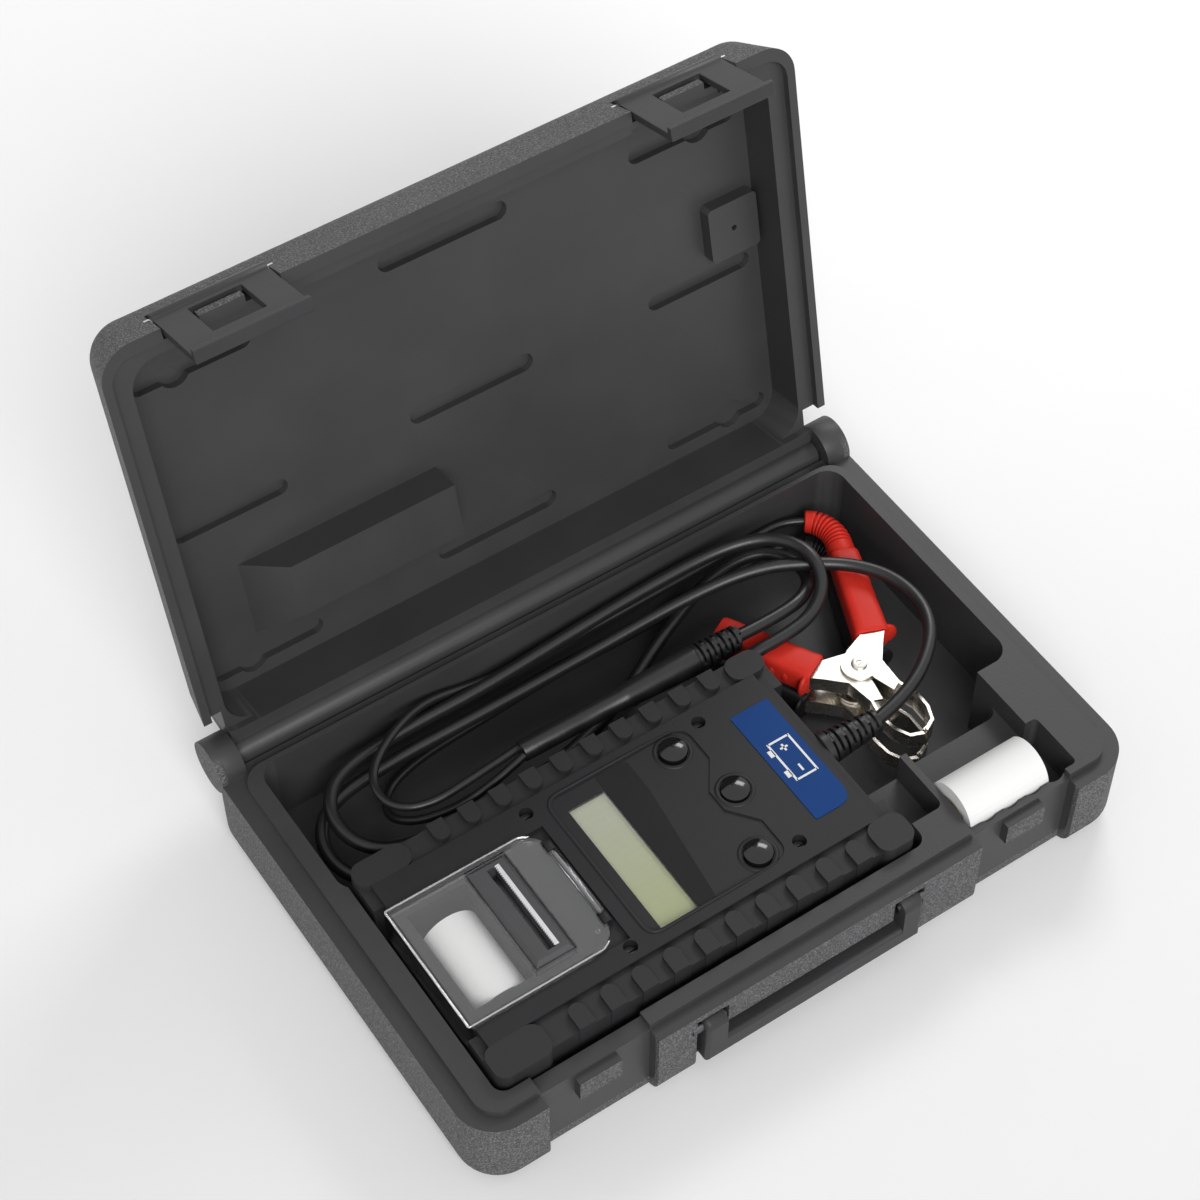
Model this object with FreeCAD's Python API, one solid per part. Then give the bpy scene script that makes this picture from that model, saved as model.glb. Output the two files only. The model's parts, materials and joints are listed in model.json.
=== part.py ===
import FreeCAD, Part
import math
import os

V = FreeCAD.Vector

# Case, mm. Heights count from the underside, depths from the front edge.
SKIN = 2.0
FLOOR_T = 6.0
WELL_DEPTH = 34.0
LID_H = 30.0
LID_DEPTH = 22.0
LID_DRAFT = 6.0
LID_R = 13.0
GROOVE_W = 8.0
GROOVE_D = 3.5
LIP_H = 3.0
RIM_SIDE = 14.0
RIM_RIGHT = 11.0
FRONT_RIM = 12.5
BACK_RIM = 18.0
CORNER_R = 17.0
LID_OPEN = 102.455
LID_INSET = 3.0
LIP_INSET = 7.0
WELL_W = 60.5
RIGHT_BAY_L = 82.0
PAD = 23.0
ROLL_FRONT = 9.2
ROLL_SEAT = 18.7
SCALLOP = 1.2

# Tester
TESTER_L = 178.0
TESTER_W = 97.0
TESTER_H = 42.0
WALL = 2.5
SPLIT_H = 24.0
STEP = 3.0
RAIL_T = 3.5
BUMPER = 4.0
BUMPER_STEP = 2.5
BUMPER_R = 5.0
RAIL_SKIN = 1.0
LUG_W = 7.0
LUG_GAP = 2.2
BACK_STEP = 0.5
PANEL_FRONT = 8.5
PANEL_BACK = 7.3

# Gaps between pieces
BAY_GAP = 4.0
END_GAP = 3.0
FRONT_GAP = 1.5
BACK_GAP = 0.5
SEAT_GAP = 0.3
LIP_GAP = 2.5
FIT = 0.05

# Hinge, latches and handle
BARREL_R = 5.5
BARREL_GAP = 0.7
PIN_R = 2.0
POST_R = 11.0
POST_L = 11.0
LATCH_EDGE = 52.5
LATCH_W = 46.0
LATCH_T = 3.0
LATCH_DROP = 26.0
LATCH_SWING = 4.5
LATCH_PIN_R = 1.5
HANDLE_AT = -5.0
HANDLE_W = 99.0
HANDLE_ARM = 9.0
HANDLE_T = 9.0
HANDLE_OUT = 3.5
HANDLE_DROP = 9.0
HANDLE_H = 30.0

# Printer, keys and display
BUCKET_X = 4.7
FRAME_L = 16.3
FRAME_W = 48.0
PRINT_Y = 25.0
ROLL_W = 38.0
ROLL_R = 12.3
ROLL_H = 27.0
CORE_R = 6.0
CORE_T = 1.4
SPARE_R = 12.0
PLATEN_R = 4.0
GEAR_R = 6.0
PINION_R = 2.5
SHAFT_R = 1.5
HEAD_T = 2.5
PLATEN_H = 30.0
KEY_R = 5.6
KEY_FLANGE = 1.4
KEY_TRAVEL = 0.8
KEY_EDGE = 3.2
SCREW_R = 1.5
SCREW_HEAD_R = 2.5
BOSS_R = 4.2
COVER_T = 1.8
COVER_PIN_R = 0.9
KNUCKLE_R = 1.9
WINDOW_X = 79.0
WINDOW_L = 16.5
WINDOW_W = 62.0
LCD_MARGIN = 8.2
LABEL_L = 17.5
LABEL_EDGE = 6.5
LABEL_W = 56.0
BOARD_T = 1.6
BOARD_DROP = 8.0
DOME_H = 1.2

# Cords and clamps
CABLE_R = 2.8
LEAD_R = 1.8
CLAMP_H = 13.2
SHEET = 1.2
RIVET_R = 2.5
RELIEF_L = 27.0
JUNCTION_LEN = 102.0
GUARD_R = 5.4
BOOT_RUN = 8.0
BOOT_BEND = 14.5
BOOT_TURN = 75.0
BOOT_R = 5.8
BOOT_TIP_R = 4.6
JAW_GAP = 0.5

BASE_H = FLOOR_T + WELL_DEPTH
CASE_L = RIM_SIDE + BAY_GAP + BUMPER + TESTER_L + BUMPER + END_GAP + RIGHT_BAY_L + RIM_RIGHT
TESTER_Y = FRONT_RIM + FRONT_GAP + BUMPER_STEP + RAIL_T
TESTER_BACK = TESTER_Y + TESTER_W + RAIL_T + BACK_STEP
CASE_W = TESTER_BACK + BACK_GAP + WELL_W + BACK_RIM
LATCH_AT = CASE_L / 2 - LATCH_EDGE


def px(d):
    """Place across the case from a distance off its left end."""
    return d - CASE_L / 2


def py(d):
    """Place from front to back from a distance off the front edge."""
    return d - CASE_W / 2


def fz(h):
    """Height from a height above the well floor."""
    return FLOOR_T + h


SHELL_X0 = px(RIM_SIDE + BAY_GAP + BUMPER)
SHELL_X1 = SHELL_X0 + TESTER_L
SHELL_Y0 = py(TESTER_Y)
SHELL_Y1 = SHELL_Y0 + TESTER_W
RIGHT_X0 = SHELL_X1 + BUMPER + END_GAP
RIGHT_X1 = RIGHT_X0 + RIGHT_BAY_L
WELL_Y1 = py(CASE_W - BACK_RIM)
HINGE_Y = py(CASE_W - 5.0)
PANEL_Y0 = SHELL_Y0 + PANEL_FRONT
PANEL_Y1 = SHELL_Y1 - PANEL_BACK
PANEL_MID = (PANEL_Y0 + PANEL_Y1) / 2
PANEL_X1 = SHELL_X1 - BUMPER
TOP = TESTER_H


def tx(d):
    """Place along the tester from its left end."""
    return SHELL_X0 + d


def ty(d):
    """Place across the tester from its front wall."""
    return SHELL_Y0 + d


def rx(d):
    """Place in the right bay from the tester's right end."""
    return SHELL_X1 + BUMPER + d


def box(x0, x1, y0, y1, z0, z1):
    return Part.makeBox(x1 - x0, y1 - y0, z1 - z0, V(x0, y0, z0))


def round_box(x0, x1, y0, y1, z0, z1, radius):
    solid = box(x0, x1, y0, y1, z0, z1)
    upright = [e for e in solid.Edges if abs(e.Vertexes[0].Z - e.Vertexes[1].Z) > 1e-6]
    return solid.makeFillet(radius, upright)


def level_edges(solid, z):
    return [e for e in solid.Edges if all(abs(v.Z - z) < 1e-6 for v in e.Vertexes)]


def rod(radius, start, end):
    return Part.makeCylinder(radius, (end - start).Length, start, end - start)


def plate(points, z0, z1):
    corners = [V(x, y, z0) for x, y in points]
    face = Part.Face(Part.makePolygon(corners + corners[:1]))
    return face.extrude(V(0, 0, z1 - z0))


def turned(profile, start, direction):
    """Solid of revolution from (distance, radius) pairs along a direction."""
    outline = [V(profile[0][0], 0, 0)] + [V(s, 0, r) for s, r in profile] + [V(profile[-1][0], 0, 0)]
    face = Part.Face(Part.makePolygon(outline + outline[:1]))
    solid = face.revolve(V(0, 0, 0), V(1, 0, 0), 360)
    solid.Placement = FreeCAD.Placement(start, FreeCAD.Rotation(V(1, 0, 0), direction))
    return solid


def ribs(length, root_r, tip_r, count, depth):
    """Profile of a tapered ribbed sleeve."""
    pitch = length / (count + 0.5)
    profile = []
    for i in range(count + 1):
        at = i * pitch
        radius = root_r + (tip_r - root_r) * at / length
        profile += [(at, radius), (at + 0.5 * pitch, radius)]
        if i < count:
            profile += [(at + 0.6 * pitch, radius - depth), (at + 0.9 * pitch, radius - depth)]
    return profile


def fuse(first, *others):
    return first.multiFuse(list(others)).removeSplitter()


def save(name, *solids):
    shape = solids[0] if len(solids) == 1 else Part.makeCompound(solids)
    shape.exportStep("parts/" + name + ".step")


def latch_zones(y0, y1, z0, z1, grow):
    half = LATCH_W / 2 + 2 * SEAT_GAP + grow
    return [box(s * LATCH_AT - half, s * LATCH_AT + half, y0, y1, z0, z1) for s in (-1, 1)]


# Case base
def base_block(inset):
    x = CASE_L / 2 - inset
    y = CASE_W / 2 - inset
    block = round_box(-x, x, -y, y, inset, BASE_H - inset, CORNER_R - inset)
    return block.makeFillet(9.0 - inset, level_edges(block, inset))


def spare_axis():
    """Left end of the spare roll's axis in its recess."""
    return V(rx(22), py(ROLL_FRONT) + SEAT_GAP + SPARE_R, fz(ROLL_SEAT) + SEAT_GAP + SPARE_R)


def roll_recess(grow, top):
    """Seat of the spare roll, with finger scallops along its front wall."""
    low = fz(ROLL_SEAT) - grow
    back = spare_axis().y + SPARE_R + 2 * SEAT_GAP
    seat = round_box(rx(21) - grow, rx(73) + grow, py(ROLL_FRONT) - grow, back + grow, low, top, 2)
    radius = 5 * SCALLOP
    places = [V(rx(30 + 11 * i), py(ROLL_FRONT - SCALLOP) + radius, low) for i in range(4)]
    return fuse(seat, *[Part.makeCylinder(radius + grow, top - low, at) for at in places])


def base_cavity(grow):
    top = BASE_H + LIP_H + 1
    low = fz(0) - grow
    bay = round_box(px(RIM_SIDE + 2) - grow, RIGHT_X0 + grow, py(FRONT_RIM) - grow, SHELL_Y1 + 10,
                    low, top, 5)
    well = round_box(px(RIM_SIDE) - grow, RIGHT_X1 + grow, SHELL_Y1 - 3, WELL_Y1 + grow, low, top, 8)
    right = round_box(SHELL_X1 - 10, RIGHT_X1 + grow, SHELL_Y1 - 53 - grow, SHELL_Y1 + 20, low, top, 8)
    nose = round_box(SHELL_X1 - 10, rx(68) + grow, SHELL_Y1 - 68 - grow, SHELL_Y1 - 40, low, top, 5)
    shelf = box(rx(21) - grow, rx(68) + grow, py(28), SHELL_Y1 - 60, fz(26) - grow, top)
    notch = round_box(SHELL_X1 - 10, rx(18) + grow, py(22) - grow, SHELL_Y1 - 60, fz(22) - grow, top, 3)
    return fuse(bay, well, right, nose, shelf, roll_recess(grow, top), notch)


def handle_recess(grow):
    half = HANDLE_W / 2 + LIP_GAP + grow
    cut = box(HANDLE_AT - half, HANDLE_AT + half, py(-1), py(6.5) + grow, -1, BASE_H - 3.5 + grow)
    pad = HANDLE_W / 2 - HANDLE_ARM - LIP_GAP - grow
    return cut.cut(box(HANDLE_AT - pad, HANDLE_AT + pad, py(-2), py(7) + grow,
                       BASE_H - 15 + grow, BASE_H + 1))


def handle_pivot():
    return V(HANDLE_AT, py(1), BASE_H - HANDLE_DROP)


def handle_pin_rods():
    inner = HANDLE_W / 2 - HANDLE_ARM - 1
    outer = HANDLE_W / 2 + LIP_GAP + SKIN
    pivot = handle_pivot()
    return [rod(PIN_R, pivot + V(s * inner, 0, 0), pivot + V(s * outer, 0, 0)) for s in (-1, 1)]


def hinge_pin_rods():
    axis = V(0, HINGE_Y, BASE_H)
    far = CASE_L / 2 - SKIN
    near = far - 18
    return [rod(PIN_R, axis + V(s * near, 0, 0), axis + V(s * far, 0, 0)) for s in (-1, 1)]


def case_block():
    """Outside of the base with its lip and the two hinge posts."""
    half = CASE_L / 2
    axis = V(0, HINGE_Y, BASE_H)
    lip = round_box(-half + LIP_INSET, half - LIP_INSET, py(6), py(CASE_W - 16), BASE_H, BASE_H + LIP_H, 10)
    lip = lip.cut(Part.makeCompound(latch_zones(py(0), py(FRONT_RIM + 1), BASE_H, BASE_H + LIP_H, 0)))
    posts = [rod(POST_R, axis + V(s * (half - POST_L), 0, 0), axis + V(s * half, 0, 0)) for s in (-1, 1)]
    return fuse(base_block(0), lip, *posts)


def base_hollow():
    """Sealed space between the two skins of the base."""
    half = CASE_L / 2
    axis = V(0, HINGE_Y, BASE_H)
    void = base_block(SKIN).cut(base_cavity(SKIN))
    void = void.cut(Part.makeCompound(latch_zones(py(-1), py(6) + SKIN, -1, BASE_H + 1, SKIN)))
    void = void.cut(handle_recess(SKIN))
    void = void.cut(rod(BARREL_R + BARREL_GAP + SKIN, axis - V(half, 0, 0), axis + V(half, 0, 0)))
    for s in (-1, 1):
        x = s * (half - POST_L / 2)
        reach = POST_L / 2 + SKIN
        void = void.cut(box(x - reach, x + reach, HINGE_Y - POST_R - 1, HINGE_Y + POST_R + 1,
                            BASE_H - POST_R - 3, BASE_H))
    return void


def case_base():
    axis = V(0, HINGE_Y, BASE_H)
    reach = V(CASE_L / 2 - POST_L, 0, 0)
    block = case_block().cut(base_cavity(0))
    block = block.cut(rod(BARREL_R + BARREL_GAP, axis - reach, axis + reach))
    block = block.cut(Part.makeCompound(latch_zones(py(-1), py(6), -1, BASE_H + 1, 0)))
    void = base_hollow()
    block = block.cut(handle_recess(0)).cut(void)
    vent = V(px(210), py(CASE_W + 1), fz(10))
    block = block.cut(rod(1.5, vent, vent - V(0, 5, 0)))
    catches = [box(s * LATCH_AT - 9, s * LATCH_AT + 9, py(2.2), py(6.5), BASE_H - 13, BASE_H - 2)
               for s in (-1, 1)]
    block = fuse(block, *catches)
    return block.cut(Part.makeCompound(handle_pin_rods() + hinge_pin_rods())), void


def carry_handle():
    pivot = handle_pivot()
    half = HANDLE_W / 2
    front = py(-HANDLE_OUT)
    back = front + HANDLE_T
    low = BASE_H - HANDLE_H
    pieces = []
    for s in (-1, 1):
        x0 = min(s * half, s * (half - HANDLE_ARM))
        pieces.append(rod(HANDLE_T / 2, pivot + V(x0, 0, 0), pivot + V(x0 + HANDLE_ARM, 0, 0)))
        pieces.append(box(pivot.x + x0, pivot.x + x0 + HANDLE_ARM, front, back, low + 5, pivot.z))
    bar = box(pivot.x - half, pivot.x + half, front, back, low, low + 10)
    handle = fuse(bar, *pieces)
    edges = [e for e in handle.Edges if abs(e.CenterOfMass.y - front) < 1e-6 and e.CenterOfMass.z < low + 11]
    handle = handle.makeFillet(2.0, edges)
    reach = V(half + 1, 0, 0)
    return handle.cut(rod(PIN_R + FIT, pivot - reach, pivot + reach))


# Lid, built closed and then swung open about the hinge
def lv(v):
    """Place from a distance off the hinge axis towards the lid's front edge."""
    return HINGE_Y - v


LID_V = HINGE_Y - py(0)


def swing(shape):
    opened = shape.copy()
    opened.rotate(V(0, HINGE_Y, BASE_H), V(1, 0, 0), -LID_OPEN)
    return opened


def lid_outline(inset, height):
    """Outline of the lid's walls, which lean inwards with the height above the rim."""
    inset = inset + LID_DRAFT * height / LID_H
    x = CASE_L / 2 - LID_INSET - inset
    low = BASE_H + height
    block = round_box(-x, x, lv(LID_V) + inset, lv(0) - inset, low, low + LID_H, CORNER_R - LID_INSET)
    return Part.Wire(Part.__sortEdges__(level_edges(block, low)))


def lid_block(inset):
    top = BASE_H + LID_H - inset
    walls = Part.makeLoft([lid_outline(inset, height) for height in (inset, LID_H - inset)], True, True)
    block = walls.makeFillet(LID_R - inset, level_edges(walls, top))
    for s in (-1, 1):
        edge = s * (CASE_L / 2 - POST_L - 1 - inset)
        end = s * CASE_L
        block = block.cut(box(min(edge, end), max(edge, end), lv(20 + inset), lv(-30),
                              BASE_H - 1, top + SKIN + 1))
    return block


def groove(x0, x1, v, half, depth, grow):
    floor = BASE_H + LID_DEPTH
    pill = box(x0, x1, lv(v) - half - grow, lv(v) + half + grow, floor - 1, floor + depth + grow)
    ends = [Part.makeCylinder(half + grow, depth + grow + 1, V(x, lv(v), floor - 1)) for x in (x0, x1)]
    return fuse(pill, *ends)


def lid_grooves(grow):
    side = CASE_L / 2 - RIM_SIDE
    pills = [groove(-24, 24, v, GROOVE_W / 2, GROOVE_D, grow) for v in (24, 93, LID_V - 31)]
    for s in (-1, 1):
        low = min(s * (side - 8), s * (side - 50))
        pills += [groove(low, low + 42, v, GROOVE_W / 2 - 0.5, GROOVE_D, grow) for v in (20, 91, LID_V - 35)]
        for v in (20, LID_V - 35):
            bulge = V(s * (side - 22), lv(v), BASE_H + LID_DEPTH - 1)
            pills.append(Part.makeCylinder(0.8 * GROOVE_W + grow, GROOVE_D + 1 + grow, bulge))
    return pills


def hold_down(inset):
    """Block under the lid that keeps the leads in the well."""
    floor = BASE_H + LID_DEPTH + 1 + inset
    low = BASE_H + 7 + inset
    foot = [(px(31) + inset, lv(30) - inset), (px(128) - inset, lv(30) - inset),
            (px(128) - inset, lv(66) + inset), (px(31) + inset, lv(66) + inset)]
    body = plate(foot, low, floor)
    wedge = plate([(0, 0), (24, 0), (0, 24)], -60, 60)
    wedge.rotate(V(0, 0, 0), V(1, 0, 0), 90)
    wedge.translate(V(px(31) + inset, lv(48), low))
    slope = plate([(0, 0), (11, 0), (0, 17)], -160, 160)
    slope.rotate(V(0, 0, 0), V(1, 0, 0), 90)
    slope.rotate(V(0, 0, 0), V(0, 0, 1), -90)
    slope.translate(V(px(80), lv(30) - inset, low))
    return body.cut(Part.makeCompound([wedge, slope]))


def lid_pad(inset):
    """Square pad near the right end that presses on the clamps."""
    right = CASE_L / 2 - 16
    return round_box(right - PAD + inset, right - inset, lv(125) + inset, lv(125 - PAD - 2) - inset,
                     BASE_H + 16 + inset, BASE_H + LID_DEPTH + 1 + inset, 2)


def lid_hollow(grow):
    x = CASE_L / 2 - RIM_SIDE + grow
    hollow = round_box(-x, x, lv(LID_V - 12) - grow, lv(10.5) + grow,
                       BASE_H - 1, BASE_H + LID_DEPTH + grow, 12)
    end = V(1 + grow, 0, 0)
    roll = rod(SPARE_R + 1 + grow, spare_axis() - end, spare_axis() + V(ROLL_W, 0, 0) + end)
    hollow = hollow.fuse(lid_grooves(grow) + [roll])
    return hollow.cut(Part.makeCompound([hold_down(grow), lid_pad(grow)]))


def lip_rebate(grow):
    gap = SEAT_GAP + 0.1 + grow
    x = CASE_L / 2 - LIP_INSET + gap
    return round_box(-x, x, py(6) - gap, py(CASE_W - 16) + gap, BASE_H - 1, BASE_H + LIP_H + gap, 10)


def latch_axis():
    return V(0, py(3.5), BASE_H + 10.5)


def latch_pin_rods():
    axis = latch_axis()
    half = LATCH_W / 2 + 2 * SEAT_GAP + SKIN
    return [rod(LATCH_PIN_R, axis + V(s * LATCH_AT - half, 0, 0), axis + V(s * LATCH_AT + half, 0, 0))
            for s in (-1, 1)]


def lid():
    half = CASE_L / 2
    axis = V(0, HINGE_Y, BASE_H)
    notches = Part.makeCompound(latch_zones(py(-1), py(7.2), BASE_H - 1, BASE_H + 15, 0))
    reach = V(half - POST_L - 1, 0, 0)
    block = lid_block(0).cut(lid_hollow(0))
    block = fuse(block.cut(lip_rebate(0)), rod(BARREL_R, axis - reach, axis + reach)).cut(notches)
    void = lid_block(SKIN).cut(lid_hollow(SKIN)).cut(lip_rebate(SKIN))
    zones = latch_zones(py(-1), py(7.2) + SKIN, BASE_H - 1, BASE_H + 15 + SKIN, SKIN)
    void = void.cut(Part.makeCompound(zones))
    void = void.cut(rod(BARREL_R, axis - V(half, 0, 0), axis + V(half, 0, 0)))
    needle = lid_pad(0).BoundBox.Center
    block = block.cut(void).cut(rod(1.2, needle - V(0, 0, 6), needle))
    bumps = [box(s * LATCH_AT - 9, s * LATCH_AT + 9, py(2.2), py(7.4), BASE_H + 0.5, BASE_H + 4)
             for s in (-1, 1)]
    block = fuse(block, *bumps)
    holes = [rod(PIN_R + FIT, axis + V(s * (half - 21), 0, 0), axis + V(s * half, 0, 0)) for s in (-1, 1)]
    return block.cut(Part.makeCompound(latch_pin_rods() + holes)), void


def latch(side):
    axis = latch_axis() + V(side * LATCH_AT, 0, 0)
    half = LATCH_W / 2
    low = BASE_H - LATCH_DROP
    body = box(axis.x - half, axis.x + half, axis.y - 2, axis.y - 2 + LATCH_T, low, axis.z)
    lip = box(axis.x - half, axis.x + half, axis.y - 4.5, axis.y - 1, low, low + 2.5)
    knuckle = rod(LATCH_T + 0.2, axis - V(half, 0, 0), axis + V(half, 0, 0))
    window = box(axis.x - 10.5, axis.x + 10.5, axis.y - 5, axis.y + 5, BASE_H - 15, BASE_H + 5.5)
    shape = fuse(body, lip, knuckle).cut(window)
    shape = shape.cut(rod(LATCH_PIN_R + FIT, axis - V(half + 1, 0, 0), axis + V(half + 1, 0, 0)))
    shape.rotate(axis, V(1, 0, 0), -LATCH_SWING)
    return shape


# Tester housing
LCD_X1 = tx(WINDOW_X + WINDOW_L + LCD_MARGIN)
WINDOW_Y = PANEL_Y0 + 6.5
LABEL_X = SHELL_X1 - LABEL_EDGE - LABEL_L
KEY_X = (LCD_X1 + LABEL_X) / 2
KEY_OFF = (PANEL_Y1 - PANEL_Y0) / 2 - WALL - KEY_R - KEY_FLANGE - KEY_EDGE
KEYS = {"button_back": (KEY_X - 1.7, PANEL_MID + KEY_OFF), "button_middle": (KEY_X + 7.6, PANEL_MID),
        "button_front": (KEY_X - 1.7, PANEL_MID - KEY_OFF)}
SCREWS = [(KEY_X + 14.2, PANEL_Y1 - 7), (KEY_X + 14.2, PANEL_Y0 + 8.5),
          (tx(65), PANEL_Y0 + 6), (tx(65), PANEL_Y1 - 5.3)]
BOARD_X = (LCD_X1 + 4.3, SHELL_X1 - WALL - 3.5)
BOARD_Y = (SCREWS[1][1] + BOSS_R + SEAT_GAP, SCREWS[0][1] - BOSS_R - SEAT_GAP)
BOARD_TOP = TOP - BOARD_DROP
RELIEF = V(SHELL_X1, ty(50), fz(32.5))


def shell_block(h0, h1):
    return round_box(SHELL_X0, SHELL_X1, SHELL_Y0, SHELL_Y1, fz(h0), fz(h1), 3)


def post(at, radius, h0, h1):
    return rod(radius, V(at[0], at[1], fz(h0)), V(at[0], at[1], fz(h1)))


def screw(at):
    shank = post(at, SCREW_R, SPLIT_H - 8, TOP - 6)
    head = post(at, SCREW_HEAD_R, TOP - 6, TOP - 4)
    slot = box(at[0] - 3, at[0] + 3, at[1] - 0.4, at[1] + 0.4, fz(TOP - 4.8), fz(TOP))
    return fuse(shank, head).cut(slot)


def tester_lower_shell():
    inner = box(SHELL_X0 + WALL, SHELL_X1 - WALL, SHELL_Y0 + WALL, SHELL_Y1 - WALL, fz(WALL), fz(SPLIT_H + 1))
    shell = shell_block(0, SPLIT_H).cut(inner)
    bosses = [post(at, BOSS_R, WALL - 1, SPLIT_H) for at in SCREWS]
    corners = [(x, y) for x in (BOARD_X[0] + 3, BOARD_X[1] - 3) for y in (BOARD_Y[0] + 4, BOARD_Y[1] - 4)]
    feet = [post(at, 2.5, WALL - 1, BOARD_TOP - BOARD_T) for at in corners]
    shell = fuse(shell, *bosses, *feet)
    return shell.cut(Part.makeCompound([screw(at) for at in SCREWS]))


ROLL_X = BUCKET_X + SEAT_GAP + ROLL_R
FRAME_X0 = ROLL_X + ROLL_R + SEAT_GAP + 1.4
FRAME_X1 = FRAME_X0 + FRAME_L
PRINT_BACK = PRINT_Y + FRAME_W
COVER_Y0 = PRINT_Y - 7
COVER_Y1 = PRINT_BACK + 3
COVER_AXIS_X = FRAME_X1 + 16.4
COVER_AXIS_H = TOP + 0.2


def paper_bucket():
    """Walls and hollow of the tray that the paper roll lies in."""
    x0, x1 = tx(BUCKET_X), tx(ROLL_X + ROLL_R + SEAT_GAP)
    y0, y1 = ty(PRINT_Y), ty(PRINT_BACK - 1)
    low = ROLL_H - ROLL_R - SEAT_GAP
    outer = box(x0 - 1, x1 + 1, y0 - 1, y1 + 1, fz(low - 1.2), fz(TOP - 3))
    return outer, box(x0, x1, y0, y1, fz(low), fz(TOP + 1))


def panel_relief():
    """Sunk field round the keys, with the raised island of the middle key left standing."""
    field = round_box(tx(WINDOW_X - 5), KEY_X + 8.2, PANEL_Y0 + 6, PANEL_Y1 - 5,
                      fz(TOP - 0.8), fz(TOP + 1), 6)
    island = [(KEY_X + 13.2, PANEL_MID + 24.5), (KEY_X - 0.8, PANEL_MID + 5),
              (KEY_X - 0.8, PANEL_MID - 5), (KEY_X + 13.2, PANEL_MID - 23)]
    return field.cut(plate(island, fz(TOP - 2), fz(TOP + 2)))


def window_box(h0, h1):
    return box(tx(WINDOW_X), tx(WINDOW_X + WINDOW_L), WINDOW_Y, WINDOW_Y + WINDOW_W, fz(h0), fz(h1))


def tester_upper_shell():
    panel = box(SHELL_X0, PANEL_X1, PANEL_Y0, PANEL_Y1, fz(TOP - STEP - 1), fz(TOP))
    shell = fuse(shell_block(SPLIT_H, TOP - STEP), panel)
    shell = shell.cut(box(SHELL_X0 + WALL, SHELL_X1 - WALL, SHELL_Y0 + WALL, SHELL_Y1 - WALL,
                          fz(SPLIT_H - 1), fz(TOP - STEP - WALL)))
    shell = shell.cut(box(tx(WINDOW_X - LCD_MARGIN - 0.8), PANEL_X1 - WALL, PANEL_Y0 + WALL, PANEL_Y1 - WALL,
                          fz(TOP - STEP - WALL - 0.5), fz(TOP - WALL)))
    shell = shell.cut(box(SHELL_X0 - 1, tx(COVER_AXIS_X + 3), ty(COVER_Y0 - 0.4), ty(COVER_Y1 + 0.4),
                          fz(TOP - 2), fz(TOP + 1)))
    bucket, hollow = paper_bucket()
    shell = fuse(shell, bucket, *[post(at, BOSS_R, SPLIT_H, TOP - WALL) for at in SCREWS]).cut(hollow)
    shell = shell.cut(box(tx(FRAME_X0 - 0.7), tx(FRAME_X1 + 0.8), ty(PRINT_Y - 1), ty(PRINT_BACK + 1),
                          fz(SPLIT_H), fz(TOP + 1)))
    shell = shell.cut(Part.makeCompound([panel_relief(), window_box(TOP - 4, TOP + 1)]))
    for at in KEYS.values():
        shell = shell.cut(post(at, KEY_R + SEAT_GAP, TOP - 5, TOP + 1))
    for at in SCREWS:
        shell = shell.cut(post(at, SCREW_HEAD_R + SEAT_GAP, TOP - 6, TOP + 1))
        shell = shell.cut(post(at, SCREW_R, SPLIT_H - 1, TOP))
    shell = shell.cut(rod(5.0, RELIEF - V(WALL + 1, 0, 0), RELIEF + V(1, 0, 0)))
    return fuse(shell, *cover_ears())


def grip_rail(front):
    """Rubber grip with lugs and corner bumpers along one long side."""
    wall = SHELL_Y0 if front else SHELL_Y1
    out = -1 if front else 1
    panel = PANEL_Y0 if front else PANEL_Y1
    y_rail = wall + out * RAIL_T
    y_bump = y_rail + out * (BUMPER_STEP if front else BACK_STEP)
    y_wrap = wall - out * 16

    def strip(x0, x1, ya, yb, h0, h1):
        return box(min(x0, x1), max(x0, x1), min(ya, yb), max(ya, yb), fz(h0), fz(h1))
    pieces = [strip(tx(10), SHELL_X1 - 8, y_rail, wall, 0, TOP - STEP + RAIL_SKIN),
              strip(tx(10), SHELL_X1 - 8, y_rail, panel, TOP - STEP, TOP - STEP + RAIL_SKIN)]
    y_lug = panel + out * (LUG_GAP + LUG_W / 2)
    for i in range(10):
        x = tx(34.2 + i * (TESTER_L - 54) / 9)
        pieces.append(strip(x - LUG_W / 2, x + LUG_W / 2, y_rail + out * 0.4, y_lug, TOP - 9, TOP + 0.3))
        pieces.append(post((x, y_lug), LUG_W / 2, TOP - STEP, TOP + 0.3))
    for x0, x1, end in ((SHELL_X0 - BUMPER, tx(20), SHELL_X0), (SHELL_X1 - 12, SHELL_X1 + BUMPER, SHELL_X1)):
        edge = x0 if end == SHELL_X0 else x1
        pieces.append(round_box(x0, x1, min(y_bump, panel), max(y_bump, panel), fz(0), fz(TOP), BUMPER_R))
        pieces.append(strip(edge, end, panel + out * BUMPER_R, y_wrap, 0, TOP - STEP))
    rail = fuse(*pieces)
    return rail.cut(shell_block(-1, TOP - STEP)).cut(box(SHELL_X0, PANEL_X1, PANEL_Y0, PANEL_Y1, 0, 200))


def button(name):
    at = KEYS[name]
    peak = TOP + 2.4
    flange = post(at, KEY_R + KEY_FLANGE, TOP - WALL - 1.2, TOP - WALL)
    cap = post(at, KEY_R, TOP - WALL - 1, peak)
    cap = cap.common(Part.makeSphere(2.5 * KEY_R, V(at[0], at[1], fz(peak - 2.5 * KEY_R))))
    stem = post(at, 2.5, BOARD_TOP + DOME_H + KEY_TRAVEL + 0.1, TOP - WALL - 1)
    return fuse(flange, cap, stem)


# Printer and its clear cover
def cover_axis(y):
    return V(tx(COVER_AXIS_X), ty(y), fz(COVER_AXIS_H))


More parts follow.
